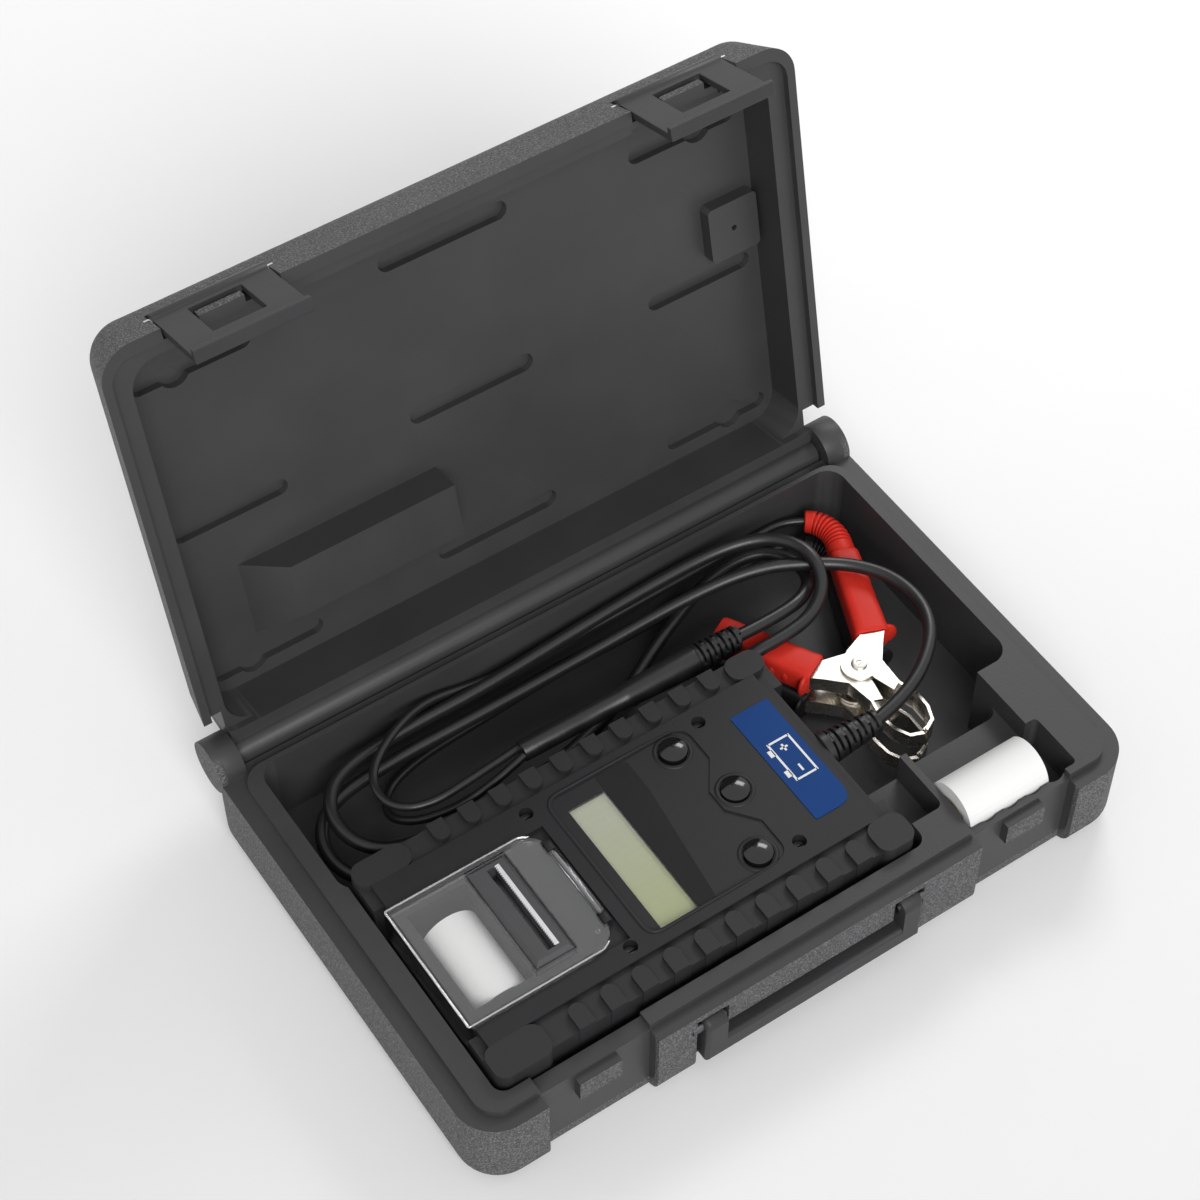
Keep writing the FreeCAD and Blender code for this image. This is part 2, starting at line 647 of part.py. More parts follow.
EARS = ((PRINT_Y + 2, PRINT_Y + 6.5), (PRINT_BACK - 8.5, PRINT_BACK - 4))


def cover_pin():
    return rod(COVER_PIN_R, cover_axis(EARS[0][0]), cover_axis(EARS[1][1]))


def cover_ears():
    ears = []
    x = tx(COVER_AXIS_X)
    for y0, y1 in EARS:
        ear = rod(KNUCKLE_R, cover_axis(y0), cover_axis(y1))
        foot = box(x - KNUCKLE_R, x + KNUCKLE_R, ty(y0), ty(y1), fz(TOP - 2.5), fz(COVER_AXIS_H))
        ears.append(fuse(ear, foot).cut(cover_pin()))
    return ears


def printer_cover():
    x0 = SHELL_X0 - 2.2
    y0, y1 = ty(COVER_Y0), ty(COVER_Y1)
    low, high = fz(TOP + 0.2), fz(TOP + 0.2 + COVER_T)
    inner = (EARS[0][1] + 0.5, EARS[1][0] - 0.5)
    shoulder = tx(COVER_AXIS_X - 8)
    outline = [(x0, y0), (shoulder, y0), (tx(COVER_AXIS_X - 2), y0 + 5), (tx(COVER_AXIS_X), ty(inner[0])),
               (tx(COVER_AXIS_X), ty(inner[1])), (tx(COVER_AXIS_X - 2), y1 - 5), (shoulder, y1), (x0, y1)]
    sheet = plate(outline, low, high)
    arch = [e for e in sheet.Edges if e.BoundBox.ZLength > COVER_T / 2 and e.BoundBox.XMin > x0 + 1]
    sheet = sheet.makeFillet(5.0, arch)
    wall = box(x0, x0 + COVER_T, y0, y1, fz(TOP - 16), high)
    skirts = [box(x0, shoulder - 4, y, y + COVER_T, fz(TOP - 2 + SEAT_GAP), fz(TOP + 1))
              for y in (y0, y1 - COVER_T)]
    knuckle = rod(KNUCKLE_R, cover_axis(inner[0]), cover_axis(inner[1]))
    cover = fuse(sheet, wall, knuckle, *skirts)
    cover = cover.cut(box(tx(FRAME_X0 - 0.8), tx(FRAME_X1 + 0.8), ty(PRINT_Y - 0.8), ty(PRINT_BACK + 0.8),
                          fz(TOP - 1), high + 1))
    for ya, yb in EARS:
        cover = cover.cut(box(tx(COVER_AXIS_X - 2.6), tx(COVER_AXIS_X + 6), ty(ya - 0.5), ty(yb + 0.5),
                              fz(TOP - 2), high + 2))
    return cover.cut(rod(COVER_PIN_R + FIT, cover_axis(EARS[0][0] - 5), cover_axis(EARS[1][1] + 5)))


PLATEN_X = FRAME_X0 + PLATEN_R + 0.4
PINION_X = PLATEN_X + PLATEN_R + SEAT_GAP
MESH = GEAR_R + PINION_R + SEAT_GAP
PINION_H = PLATEN_H - math.sqrt(MESH ** 2 - (PINION_X - PLATEN_X) ** 2)
MOTOR_R = MESH - PLATEN_R - SEAT_GAP
SLOT_X = PLATEN_X + 2.3
SLOT_L = 3.8


def across(x, h, radius, y0, y1):
    """Cylinder across the printer between two distances from the front face of its frame."""
    return rod(radius, V(tx(x), ty(PRINT_Y + y0), fz(h)), V(tx(x), ty(PRINT_Y + y1), fz(h)))


def printer_frame():
    x0, x1 = tx(FRAME_X0), tx(FRAME_X1)
    y0, y1 = ty(PRINT_Y), ty(PRINT_BACK)
    sides = [box(x0, x1, y, y + 2, fz(WALL), fz(TOP + 1)) for y in (y0, y1 - 2)]
    bezel = box(x0, x1, y0, y1, fz(TOP - 3), fz(TOP + 3))
    tie = box(x0, x1, y0, y1, fz(WALL), fz(WALL + 3))
    frame = fuse(bezel, tie, *sides)
    top = level_edges(frame, fz(TOP + 3))
    frame = frame.makeChamfer(1.6, [e for e in top if e.Length > 10])
    frame = frame.cut(box(tx(SLOT_X), tx(SLOT_X + SLOT_L), y0 + 3.5, y1 - 3.5, fz(TOP - 4), fz(TOP + 4)))
    frame = frame.cut(across(PLATEN_X, PLATEN_H, SHAFT_R + FIT, -5, FRAME_W + 7))
    return frame.cut(across(PINION_X, PINION_H, SHAFT_R, FRAME_W - 3, FRAME_W + 7))


def platen_roller():
    return fuse(across(PLATEN_X, PLATEN_H, PLATEN_R, 3, FRAME_W - 3),
                across(PLATEN_X, PLATEN_H, SHAFT_R, -1, FRAME_W + 5))


def platen_gear():
    disc = across(PLATEN_X, PLATEN_H, GEAR_R, FRAME_W + 1.5, FRAME_W + 4.5)
    return disc.cut(across(PLATEN_X, PLATEN_H, SHAFT_R, FRAME_W, FRAME_W + 7))


def motor_pinion():
    return fuse(across(PINION_X, PINION_H, PINION_R, FRAME_W + 1.5, FRAME_W + 4.5),
                across(PINION_X, PINION_H, 1.0, FRAME_W - 9, FRAME_W + 4.5))


def printer_motor():
    can = across(PINION_X, PINION_H, MOTOR_R, FRAME_W - 27, FRAME_W - 2)
    return can.cut(across(PINION_X, PINION_H, 1.0 + FIT, FRAME_W - 9.3, FRAME_W - 1))


def print_head():
    x0 = tx(PLATEN_X + PLATEN_R + 0.4)
    low = PINION_H + MOTOR_R + SEAT_GAP
    return box(x0, x0 + HEAD_T, ty(PRINT_Y + 2), ty(PRINT_BACK - 2), fz(low), fz(low + 9))


def tear_bar():
    """Serrated strip beside the paper slot."""
    teeth = 40
    y0, y1 = ty(PRINT_Y + 3.5), ty(PRINT_BACK - 3.5)
    pitch = (y1 - y0) / teeth
    x = tx(SLOT_X + SLOT_L)
    edge = []
    for i in range(teeth):
        edge += [(x, y0 + i * pitch), (x - 0.8, y0 + (i + 0.5) * pitch)]
    return plate(edge + [(x, y1), (x + 2.6, y1), (x + 2.6, y0)], fz(TOP + 3), fz(TOP + 3.6))


def roll_and_core(start, end, radius):
    direction = (end - start).normalize()
    roll = rod(radius, start, end).cut(rod(CORE_R, start - direction, end + direction))
    core = rod(CORE_R, start, end).cut(rod(CORE_R - CORE_T, start - direction, end + direction))
    return roll, core


# Clamps, built about the pivot with the jaws towards -Y
SLEEVE_NEAR = V(15, 9.5, 0)
SLEEVE_FAR = V(33, 49, 0)


def sleeve_dir():
    return (SLEEVE_FAR - SLEEVE_NEAR).normalize()


def beside(point, along, off):
    d = sleeve_dir()
    return (point.x + d.x * along + d.y * off, point.y + d.y * along - d.x * off)


def half_lever(z0, z1, hole_r):
    """Right-hand half: two plates joined by an outer web that ends in the jaw."""
    far = (SLEEVE_FAR - SLEEVE_NEAR).Length - 3
    outline = [(JAW_GAP, -9), (2.8, -18), (7.4, -16), (8.6, -4), (15, 3), beside(SLEEVE_NEAR, 0, 5),
               beside(SLEEVE_NEAR, far, 5), beside(SLEEVE_NEAR, far, -5),
               beside(SLEEVE_NEAR, -0.5, -5), (0, 8)]
    leaf = fuse(plate(outline, z0, z0 + SHEET), Part.makeCylinder(7.5, SHEET, V(0, 0, z0)))
    upper = leaf.copy()
    upper.translate(V(0, 0, z1 - z0 - SHEET))
    line = [(JAW_GAP, -41), (6, -38.5), (9, -32), (9.6, -24), (7.4, -16), (8.6, -4), (15, 3),
            beside(SLEEVE_NEAR, 0, 5), beside(SLEEVE_NEAR, far, 5)]
    back = [beside(SLEEVE_NEAR, far, 5 - SHEET), beside(SLEEVE_NEAR, 1, 5 - SHEET), (13.8, 3.6), (7.4, -3.8),
            (6.2, -16), (8.3, -24), (7.8, -31.6), (5.2, -37.3), (JAW_GAP, -39.4)]
    web = plate(line + back, z0, z1)
    pitch = (z1 - z0) / 3
    tooth = [(JAW_GAP, -41), (JAW_GAP, -38.4), (3, -38)]
    teeth = [plate(tooth, z0 + i * pitch, z0 + (i + 0.5) * pitch) for i in range(3)]
    lever = fuse(leaf, upper, web, *teeth)
    return lever.cut(Part.makeCylinder(hole_r, 40, V(0, 0, -10)))


def half_sleeve(z0, z1):
    far = (SLEEVE_FAR - SLEEVE_NEAR).Length
    outline = [beside(SLEEVE_NEAR, 0, 7), beside(SLEEVE_NEAR, far, 6.2),
               beside(SLEEVE_NEAR, far, -6.2), beside(SLEEVE_NEAR, 0, -7)]
    sleeve = plate(outline, 0, CLAMP_H)
    longways = [e for e in sleeve.Edges if e.Length > 20]
    sleeve = sleeve.makeFillet(2.2, longways)
    ear = rod(GUARD_R, V(*beside(SLEEVE_NEAR, 0, 4), CLAMP_H / 2), V(*beside(SLEEVE_NEAR, 3, 4), CLAMP_H / 2))
    sleeve = fuse(sleeve, ear)
    pocket = plate([beside(SLEEVE_NEAR, -9, 5.1), beside(SLEEVE_NEAR, far - 2.8, 5.1),
                    beside(SLEEVE_NEAR, far - 2.8, -5.1), beside(SLEEVE_NEAR, -9, -5.1)], z0 - 0.1, z1 + 0.1)
    return sleeve.cut(pocket)


def boot_point(s):
    """Place and direction on the boot's centre line at distance s from the sleeve."""
    d = sleeve_dir()
    start = SLEEVE_FAR + V(0, 0, CLAMP_H / 2)
    if s <= BOOT_RUN:
        return start + d * s, d
    left = V(-d.y, d.x, 0)
    turn = (s - BOOT_RUN) / BOOT_BEND
    along = d * (BOOT_BEND * math.sin(turn)) + left * (BOOT_BEND * (1 - math.cos(turn)))
    return start + d * BOOT_RUN + along, d * math.cos(turn) + left * math.sin(turn)


BOOT_LEN = BOOT_RUN + BOOT_BEND * math.radians(BOOT_TURN)


def boot_disc(s, radius, thick):
    at, way = boot_point(s)
    return rod(radius, at - way * thick, at)


def clamp_boot(sleeve):
    """Bend relief: a curved core with ribs, from the sleeve's end to the lead."""
    begin = boot_point(-2)[0]
    bend = boot_point(BOOT_RUN)[0]
    middle = boot_point((BOOT_RUN + BOOT_LEN) / 2)[0]
    end = boot_point(BOOT_LEN)[0]
    path = Part.Wire([Part.LineSegment(begin, bend).toShape(), Part.Arc(bend, middle, end).toShape()])
    ring = Part.Wire([Part.Circle(begin, sleeve_dir(), BOOT_TIP_R - 0.6).toShape()])
    core = path.makePipeShell([ring], True, False)
    root = rod(BOOT_R, begin, boot_point(BOOT_RUN - 1.5)[0])
    count = 6
    pitch = (BOOT_LEN - BOOT_RUN - 2.6) / count
    discs = []
    for i in range(count):
        radius = BOOT_R + (BOOT_TIP_R - BOOT_R) * (i + 1) / count
        discs.append(boot_disc(BOOT_RUN + (i + 0.75) * pitch, radius, 0.5 * pitch))
    discs.append(boot_disc(BOOT_LEN, BOOT_TIP_R, 2))
    shape = fuse(core, root, *discs).cut(sleeve)
    return max(shape.Solids, key=lambda s: s.Volume)


def mirror(shape):
    return shape.mirror(V(0, 0, 0), V(1, 0, 0))


def clamp_parts():
    low = 1.3
    high = CLAMP_H - low
    step = SHEET + SEAT_GAP
    fixed = half_lever(low, high, RIVET_R)
    moving = mirror(half_lever(low + step, high - step, RIVET_R + FIT))
    fixed_sleeve = half_sleeve(low, high)
    moving_sleeve = mirror(half_sleeve(low + step, high - step))
    head = low - 0.9
    rivet = fuse(rod(RIVET_R, V(0, 0, head), V(0, 0, CLAMP_H - head)), rod(4, V(0, 0, head), V(0, 0, low)),
                 rod(4, V(0, 0, high), V(0, 0, CLAMP_H - head)))
    coil = rod(6, V(0, 0, low + 2 * step), V(0, 0, high - 2 * step))
    spring = coil.cut(rod(RIVET_R + 0.4, V(0, 0, 0), V(0, 0, CLAMP_H)))
    return {"fixed_lever": fixed, "moving_lever": moving, "fixed_sleeve": fixed_sleeve,
            "moving_sleeve": moving_sleeve, "rivet": rivet, "spring": spring,
            "boot": clamp_boot(fixed_sleeve)}


def clamp_place(pivot, turn):
    return FreeCAD.Placement(pivot, FreeCAD.Rotation(V(0, 0, 1), turn))


RED_PLACE = clamp_place(V(rx(37.8), SHELL_Y1 - 17.5, fz(CLAMP_H + 2 * SEAT_GAP)), 3.0)
BLACK_PLACE = clamp_place(V(rx(36.0), SHELL_Y1 - 18.5, fz(SEAT_GAP / 2)), 2.0)


# Cords
def cord(name, points, radius):
    """Tube along straight runs joined by tangent arcs."""
    edges = []
    begin = points[0]
    tightest = 1e9
    for a, b, c in zip(points, points[1:], points[2:]):
        run_in = (b - a).normalize()
        run_out = (c - b).normalize()
        turn = run_in.getAngle(run_out)
        reach = 0.45 * min((b - a).Length, (c - b).Length)
        tightest = min(tightest, reach / math.tan(turn / 2))
        start = b - run_in * reach
        end = b + run_out * reach
        centre_way = (run_out - run_in).normalize()
        bend = reach / math.tan(turn / 2)
        middle = b + centre_way * (bend / math.cos(turn / 2) - bend)
        edges.append(Part.LineSegment(begin, start).toShape())
        edges.append(Part.Arc(start, middle, end).toShape())
        begin = end
    edges.append(Part.LineSegment(begin, points[-1]).toShape())
    path = Part.Wire(edges)
    first = (points[1] - points[0]).normalize()
    section = Part.Wire([Part.Circle(points[0], first, radius).toShape()])
    tube = path.makePipeShell([section], True, False)
    ideal = math.pi * radius ** 2 * path.Length
    print(name, "length", round(path.Length, 1), "tightest radius", round(tightest, 1),
          "volume ratio", round(tube.Volume / ideal, 4))
    return tube


def well_point(x, y, h):
    return V(px(x), WELL_Y1 - y, fz(h))


def right_point(x, y, h):
    return V(rx(x), WELL_Y1 - y, fz(h))


RELIEF_TIP = RELIEF + V(RELIEF_L, 0, 0)
JUNCTION_END = right_point(2, 48.7, 33.2)
JUNCTION_DIR = V(-1, 0.012, 0).normalize()


def main_route():
    return [RELIEF_TIP, RELIEF_TIP + V(19, 3, 0.6), right_point(64, 95, 34), right_point(73.5, 79, 33.5),
            right_point(73.5, 60, 32), right_point(65, 45, 31), right_point(51, 34.5, 31.4),
            right_point(31, 23.5, 31.2), right_point(2, 17, 26.5), well_point(155, 14.5, 20),
            well_point(105, 14, 18), well_point(67, 13.2, 17.2), well_point(35.3, 15.8, 16.5),
            well_point(23, 28.1, 15.3), well_point(23, 45.5, 14), well_point(35.3, 57.8, 12.8),
            well_point(66, 58.4, 12), well_point(108, 57.4, 12.5), well_point(150, 56.8, 15),
            well_point(183, 57.8, 24), well_point(206, 57.3, 30.6), well_point(222, 57.6, 30.7),
            right_point(34, 55.5, 31.0), right_point(45.5, 47.5, 33.8), right_point(49.5, 36, 37.6),
            right_point(47, 24, 37.2), right_point(38, 13.5, 35), right_point(20, 7.5, 32.5),
            well_point(194, 5.8, 30), well_point(152, 6.4, 27), well_point(110, 8.2, 25),
            well_point(74, 7.4, 24.2), well_point(43.3, 9.7, 23.5), well_point(31, 21.8, 22.5),
            well_point(31, 39.2, 21.3), well_point(43.3, 51.5, 19.5), well_point(72, 51.8, 16),
            well_point(112, 48.5, 10), well_point(154, 38, 10), well_point(189, 20, 14),
            right_point(13, 9.3, 18), right_point(37, 8.6, 21), right_point(48.3, 19.8, 22.6),
            right_point(48.3, 35.4, 25.6), right_point(37, 46.1, 30.4), right_point(19.2, 48.3, 31.4),
            JUNCTION_END]


def lead_start(place):
    tip, way = boot_point(BOOT_LEN)
    return place.multVec(tip), place.Rotation.multVec(way)


def junction_port(side):
    tip = JUNCTION_END + JUNCTION_DIR * JUNCTION_LEN
    return tip + V(0, side * 2.1, 0)


def red_route():
    tip, way = lead_start(RED_PLACE)
    return [tip, tip + way * 8.5, right_point(43, 2.6, 20.6), right_point(16, 3.6, 20.4),
            well_point(180, 4, 20),
            well_point(152, 3.2, 18.6), well_point(112, 2.7, 21), well_point(86, 3.4, 30),
            well_point(64, 13, 33), well_point(49, 24.5, 31.5), well_point(48.5, 40, 31.5),
            well_point(61, 49, 33), well_point(84, 48, 34.4), junction_port(1)]


def black_route():
    tip, way = lead_start(BLACK_PLACE)
    return [tip, tip + way * 9.0, right_point(42, 4, 6.8), right_point(16, 5.6, 6.8),
            well_point(190, 7.6, 6.2),
            well_point(148, 7.2, 7), well_point(108, 9.4, 6), well_point(78, 11.6, 7), well_point(58, 19, 9),
            well_point(50.5, 34, 14), well_point(60, 47, 21), well_point(83, 53.8, 29.5), junction_port(-1)]


def lead_junction():
    profile = ribs(20, 5.0, 6.0, 7, 1.1)
    profile += [(22, 6.0), (0.54 * JUNCTION_LEN, 4.8), (0.76 * JUNCTION_LEN, 4.4), (JUNCTION_LEN, 4.4)]
    return turned(profile, JUNCTION_END, JUNCTION_DIR)


def strain_relief():
    flange = rod(8.0, RELIEF, RELIEF + V(3.5, 0, 0))
    neck = rod(4.7, RELIEF - V(WALL + 1.5, 0, 0), RELIEF)
    body = turned(ribs(RELIEF_L - 3.5, 6.6, 4.6, 7, 1.1), RELIEF + V(3.5, 0, 0), V(1, 0, 0))
    return fuse(flange, neck, body)


def build():
    os.makedirs("parts", exist_ok=True)
    base, base_void = case_base()
    cover, lid_void = lid()
    print("separate hollows", len(base_void.Solids), len(lid_void.Solids))
    save("case_base", base)
    save("lid", swing(cover))
    save("hinge_pins", *hinge_pin_rods())
    save("latch_left", swing(latch(-1)))
    save("latch_right", swing(latch(1)))
    save("latch_pins", *[swing(pin) for pin in latch_pin_rods()])
    save("carry_handle", carry_handle())
    save("handle_pins", *handle_pin_rods())
    save("tester_lower_shell", tester_lower_shell())
    save("tester_upper_shell", tester_upper_shell())
    save("grip_rail_front", grip_rail(True))
    save("grip_rail_back", grip_rail(False))
    save("body_screws", *[screw(at) for at in SCREWS])
    save("display_window", window_box(TOP - WALL, TOP - 1))
    save("lcd_module", box(tx(WINDOW_X - LCD_MARGIN), LCD_X1, PANEL_Y0 + WALL + 0.5, PANEL_Y1 - WALL - 0.5,
                           fz(TOP - 9), fz(TOP - WALL)))
    save("main_board", box(*BOARD_X, *BOARD_Y, fz(BOARD_TOP - BOARD_T), fz(BOARD_TOP)))
    save("dome_switches", *[post(at, 3, BOARD_TOP, BOARD_TOP + DOME_H) for at in KEYS.values()])
    for name in KEYS:
        save(name, button(name))
    save("label_plate", box(LABEL_X, LABEL_X + LABEL_L, PANEL_MID - LABEL_W / 2, PANEL_MID + LABEL_W / 2,
                            fz(TOP), fz(TOP + 0.3)))
    save("printer_frame", printer_frame())
    save("tear_bar", tear_bar())
    save("print_head", print_head())
    save("platen_roller", platen_roller())
    save("platen_gear", platen_gear())
    save("printer_motor", printer_motor())
    save("motor_pinion", motor_pinion())
    save("printer_cover", printer_cover())
    save("cover_pin", cover_pin())
    paper_at = V(tx(ROLL_X), ty(PRINT_Y + 1), fz(ROLL_H))
    paper, core = roll_and_core(paper_at, paper_at + V(0, ROLL_W, 0), ROLL_R)
    save("paper_roll", paper)
    save("paper_core", core)
    paper, core = roll_and_core(spare_axis(), spare_axis() + V(ROLL_W, 0, 0), SPARE_R)
    save("spare_roll", paper)
    save("spare_core", core)
    save("strain_relief", strain_relief())
    save("lead_junction", lead_junction())
    save("main_cable", cord("main_cable", main_route(), CABLE_R))
    save("red_lead", cord("red_lead", red_route(), LEAD_R))
    save("black_lead", cord("black_lead", black_route(), LEAD_R))
    for colour, place in (("red", RED_PLACE), ("black", BLACK_PLACE)):
        for name, solid in clamp_parts().items():
            solid.Placement = place.multiply(solid.Placement)
            save(colour + "_" + name, solid)


build()
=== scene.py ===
import json
import math

import bmesh
import bpy
from mathutils import Matrix, Vector

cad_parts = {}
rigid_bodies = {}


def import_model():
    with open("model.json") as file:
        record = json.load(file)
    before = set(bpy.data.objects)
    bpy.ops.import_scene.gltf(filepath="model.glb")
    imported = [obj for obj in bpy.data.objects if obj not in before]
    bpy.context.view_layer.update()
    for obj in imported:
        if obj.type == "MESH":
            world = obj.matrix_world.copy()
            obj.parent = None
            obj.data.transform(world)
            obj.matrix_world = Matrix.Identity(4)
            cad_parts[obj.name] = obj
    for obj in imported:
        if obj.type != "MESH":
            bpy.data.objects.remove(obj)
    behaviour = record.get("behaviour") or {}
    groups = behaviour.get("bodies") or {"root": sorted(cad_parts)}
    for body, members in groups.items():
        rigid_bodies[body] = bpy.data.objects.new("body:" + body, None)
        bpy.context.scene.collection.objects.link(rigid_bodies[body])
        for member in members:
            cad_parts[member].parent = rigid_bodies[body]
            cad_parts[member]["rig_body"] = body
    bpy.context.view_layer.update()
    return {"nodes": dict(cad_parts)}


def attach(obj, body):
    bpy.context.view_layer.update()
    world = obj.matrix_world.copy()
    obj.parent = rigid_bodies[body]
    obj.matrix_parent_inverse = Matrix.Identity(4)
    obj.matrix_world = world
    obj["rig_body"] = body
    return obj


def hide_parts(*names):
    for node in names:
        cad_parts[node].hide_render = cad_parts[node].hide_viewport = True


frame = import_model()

MM = 0.001
nodes = frame["nodes"]
X_WAY = Vector((1, 0, 0))
Z_WAY = Vector((0, 0, 1))

# Case, in millimetres and degrees. A box is the centre and the half size of the outer walls.
HINGE = (0.0, 95.0, 40.0)
LID_OPEN = 102.455
LID_LEAN = 6.0 / 30.0
BASE_BOX = ((0, 0, 100), (150, 100, 100))
LID_BOX = ((0, -2.5, 20), (147, 97.5, 50))
CASE_CORNER = 13.0

# Tester's panel: the top, the sunk field in it, and what lies on them. Plan corners are x, y, radius, and
# LABEL and COVER are x0, x1, y0, y1. A collar's or boss's section is height above its foot and radius.
PANEL_Z = 48.0
FIELD_Z = 47.2
KEYS = {"back": (-0.85, -3.0), "middle": (8.45, -30.9), "front": (-0.85, -58.8)}
KEY_COLLAR = [(-0.05, 6.2), (0.45, 6.3), (0.6, 6.7), (0.6, 7.2), (0.4, 7.7), (-0.05, 8.0)]
KEY_COLLAR_SIDES = 48
LABEL = (26.0, 43.5, -58.9, -2.9)
LABEL_T = 0.3
LABEL_R, LABEL_LARGE_R = 1.0, 7.0
MARK_SHIFT = 0.6
MARK_T = 0.03
DISPLAY_FRONT, DISPLAY_BACK = -66.0, -4.0
DISPLAY_CELL = (7.5, 3.6)
DISPLAY_CELL_GAP = 0.3
SURROUND = [
    (-32.2, -66.2, 0.5), (-24.6, -66.2, 4.0), (-18.0, -12.0, 3.0), (-18.0, 3.9, 2.0), (-32.2, 3.9, 0.5)]
SURROUND_SINK, SURROUND_RISE = 0.02, 0.12
FIELD_EDGE = [(3.0, 5.4, 1.0), (-54.7, 5.4, 6.6), (-54.7, -66.2, 6.6), (3.0, -66.2, 1.0)]
FIELD_RIDGE_R = 0.75
FIELD_RIDGE_SINK = 0.05

# Printer: tear blade and the clear cover over the paper
BLADE_Y = (-51.5, -10.5)
BLADE_Z = (51.0, 51.5)
BLADE_BACK, BLADE_ROOT, BLADE_TIP = -84.7, -86.15, -86.95
BLADE_TEETH = 40
COVER = (-130.2, -64.0, -62.0, -4.0)
COVER_TOP = 50.0
COVER_CORNER_R, COVER_SHOULDER_R, COVER_END_R = 1.0, 5.0, 2.0
COVER_SHOULDER, COVER_END, COVER_END_IN = 8.0, 4.5, 2.0
COVER_RIM_R = 0.5
COVER_RIM_SINK = 0.2
COVER_BOSS_X = -70.0
COVER_BOSS_Y = {"back": -8.6, "front": -54.6}
COVER_BOSS = [(0.02, 1.05), (0.16, 1.0), (0.2, 0.8), (0.1, 0.55), (0.02, 0.5)]
COVER_BOSS_SIDES = 24
# Beads thin out at their ends: share of the radius at the tip, and gain with each further ring
BEAD_END, BEAD_STEP = 0.35, 0.2

# Clamps: place and turn of each, then the sleeve and the bent boot in the clamp's own frame
CLAMPS = {"red": ((91.8, -0.5, 19.8), 3.0), "black": ((90.0, -1.5, 6.15), 2.0)}
CLAMP_H = 13.2
SLEEVE_NEAR = Vector((15.0, 9.5, CLAMP_H / 2))
SLEEVE_FAR = Vector((33.0, 49.0, CLAMP_H / 2))
SLEEVE_L = (SLEEVE_FAR - SLEEVE_NEAR).length
SLEEVE_WAY = (SLEEVE_FAR - SLEEVE_NEAR).normalized()
SLEEVE_OUT = Vector((SLEEVE_WAY.y, -SLEEVE_WAY.x, 0.0))
# Grip sections: distance along the sleeve, half width, half height; a higher power is squarer
GRIP_INSIDE = [(SLEEVE_L - 2.6, 5.2, 5.5), (1.5, 5.25, 5.5), (-0.5, 5.7, 5.8)]
GRIP_INSIDE_POWER = 14
GRIP_OUTSIDE = [
    (-0.5, 6.6, 6.2), (0, 7.2, 6.5), (1.2, 7.4, 6.6), (3.5, 7.1, 6.6), (12, 6.9, 6.6), (28, 6.6, 6.6),
    (SLEEVE_L - 4, 6.3, 6.5), (SLEEVE_L - 1.5, 6.2, 6.3), (SLEEVE_L - 0.3, 5.9, 5.95), (SLEEVE_L, 5.5, 5.5)]
GRIP_OUTSIDE_POWER = 4.2
GUARD_AT, GUARD_OUT, GUARD_SIZE = 1.5, 6.2, (1.9, 4.8, 5.6)
NUBS_AT, NUB_OUT, NUB_SIZE, NUB_SIDES = (10, 16, 22, 28, 34), 6.6, (1.6, 0.9, 2.6), 12
BOOT_RUN, BOOT_BEND, BOOT_TURN = 8.0, 14.5, math.radians(75.0)
BOOT_L = BOOT_RUN + BOOT_BEND * BOOT_TURN
BOOT_R, BOOT_TAPER, BOOT_TAPER_FROM = 5.9, 1.15, 4.0
BOOT_SIDES = 36
BOOT_RIBS, BOOT_RIBS_FROM, BOOT_TAIL = 9, 5.8, 2.6
# Boot: distance and radius before and after the ribs; step and depth of the groove before each rib
BOOT_FOOT = [(-2.5, 5.2), (0.2, 5.6), (1.5, BOOT_R)]
BOOT_FOOT_END = 5.2
BOOT_GROOVE = [(-0.5, 0.12), (-0.3, 1.2), (0.15, 1.2), (0.35, 0.12), (0.7, 0.0)]
BOOT_LAND = 0.7
BOOT_TIP = [(BOOT_L - 0.5, 4.7), (BOOT_L - 0.1, 4.3), (BOOT_L, 3.6), (BOOT_L, 1.7)]
# Rivet: height and radius of each step, and the bar across the hollow of its head
RIVET = [
    (0.4, 0), (0.4, 2.4), (0.55, 3), (0.9, 3.3), (1.3, 3.3), (1.3, 2.5), (11.9, 2.5), (11.9, 3.3),
    (12.3, 3.3), (12.65, 3), (12.8, 2.4), (12.8, 1.5), (12.25, 1.3), (12.25, 0)]
RIVET_BAR = (-1.4, 1.4, -0.35, 0.35, 12.2, 12.65)
SPRING_LOW, SPRING_HIGH, SPRING_R, SPRING_TURNS = 4.3, 8.9, 5.1, 2.5
SPRING_WIRE, SPRING_WIRE_SIDES, SPRING_STEPS = 0.8, 10, 90

# Ribbed reliefs: distance and radius of the plain steps before and after the ribs
RELIEF = Vector((50.0, -30.0, 38.5))
RELIEF_L = 27.0
RELIEF_HEAD = [(-4, 0), (-4, 4.7), (0, 4.7), (0, 7.6), (0.4, 8), (3, 8), (3.5, 7.5)]
CABLE_MOUTH = 2.7
JUNCTION = Vector((56.0, 33.3, 39.2))
JUNCTION_WAY = Vector((-1.0, 0.012, 0.0)).normalized()
JUNCTION_L = 102.0
JUNCTION_TAIL = [
    (21.2, 6.1), (22, 6.2), (53, 5.1), (55.2, 4.9), (56, 4.55), (76, 4.5), (77, 4.4),
    (JUNCTION_L - 0.8, 4.4), (JUNCTION_L - 0.2, 4.2), (JUNCTION_L, 3.9), (JUNCTION_L, 0)]
# Shares of one rib's pitch: end of the slot, top of the rise, start of the fall
RIB_SLOT, RIB_RISE, RIB_FALL = 0.38, 0.45, 0.93
RIB_EASE = 0.25
BRIDGE_HALF, BRIDGE_ROOT, BRIDGE_SINK, BRIDGE_LAP = 1.9, 0.5, 0.3, 0.1

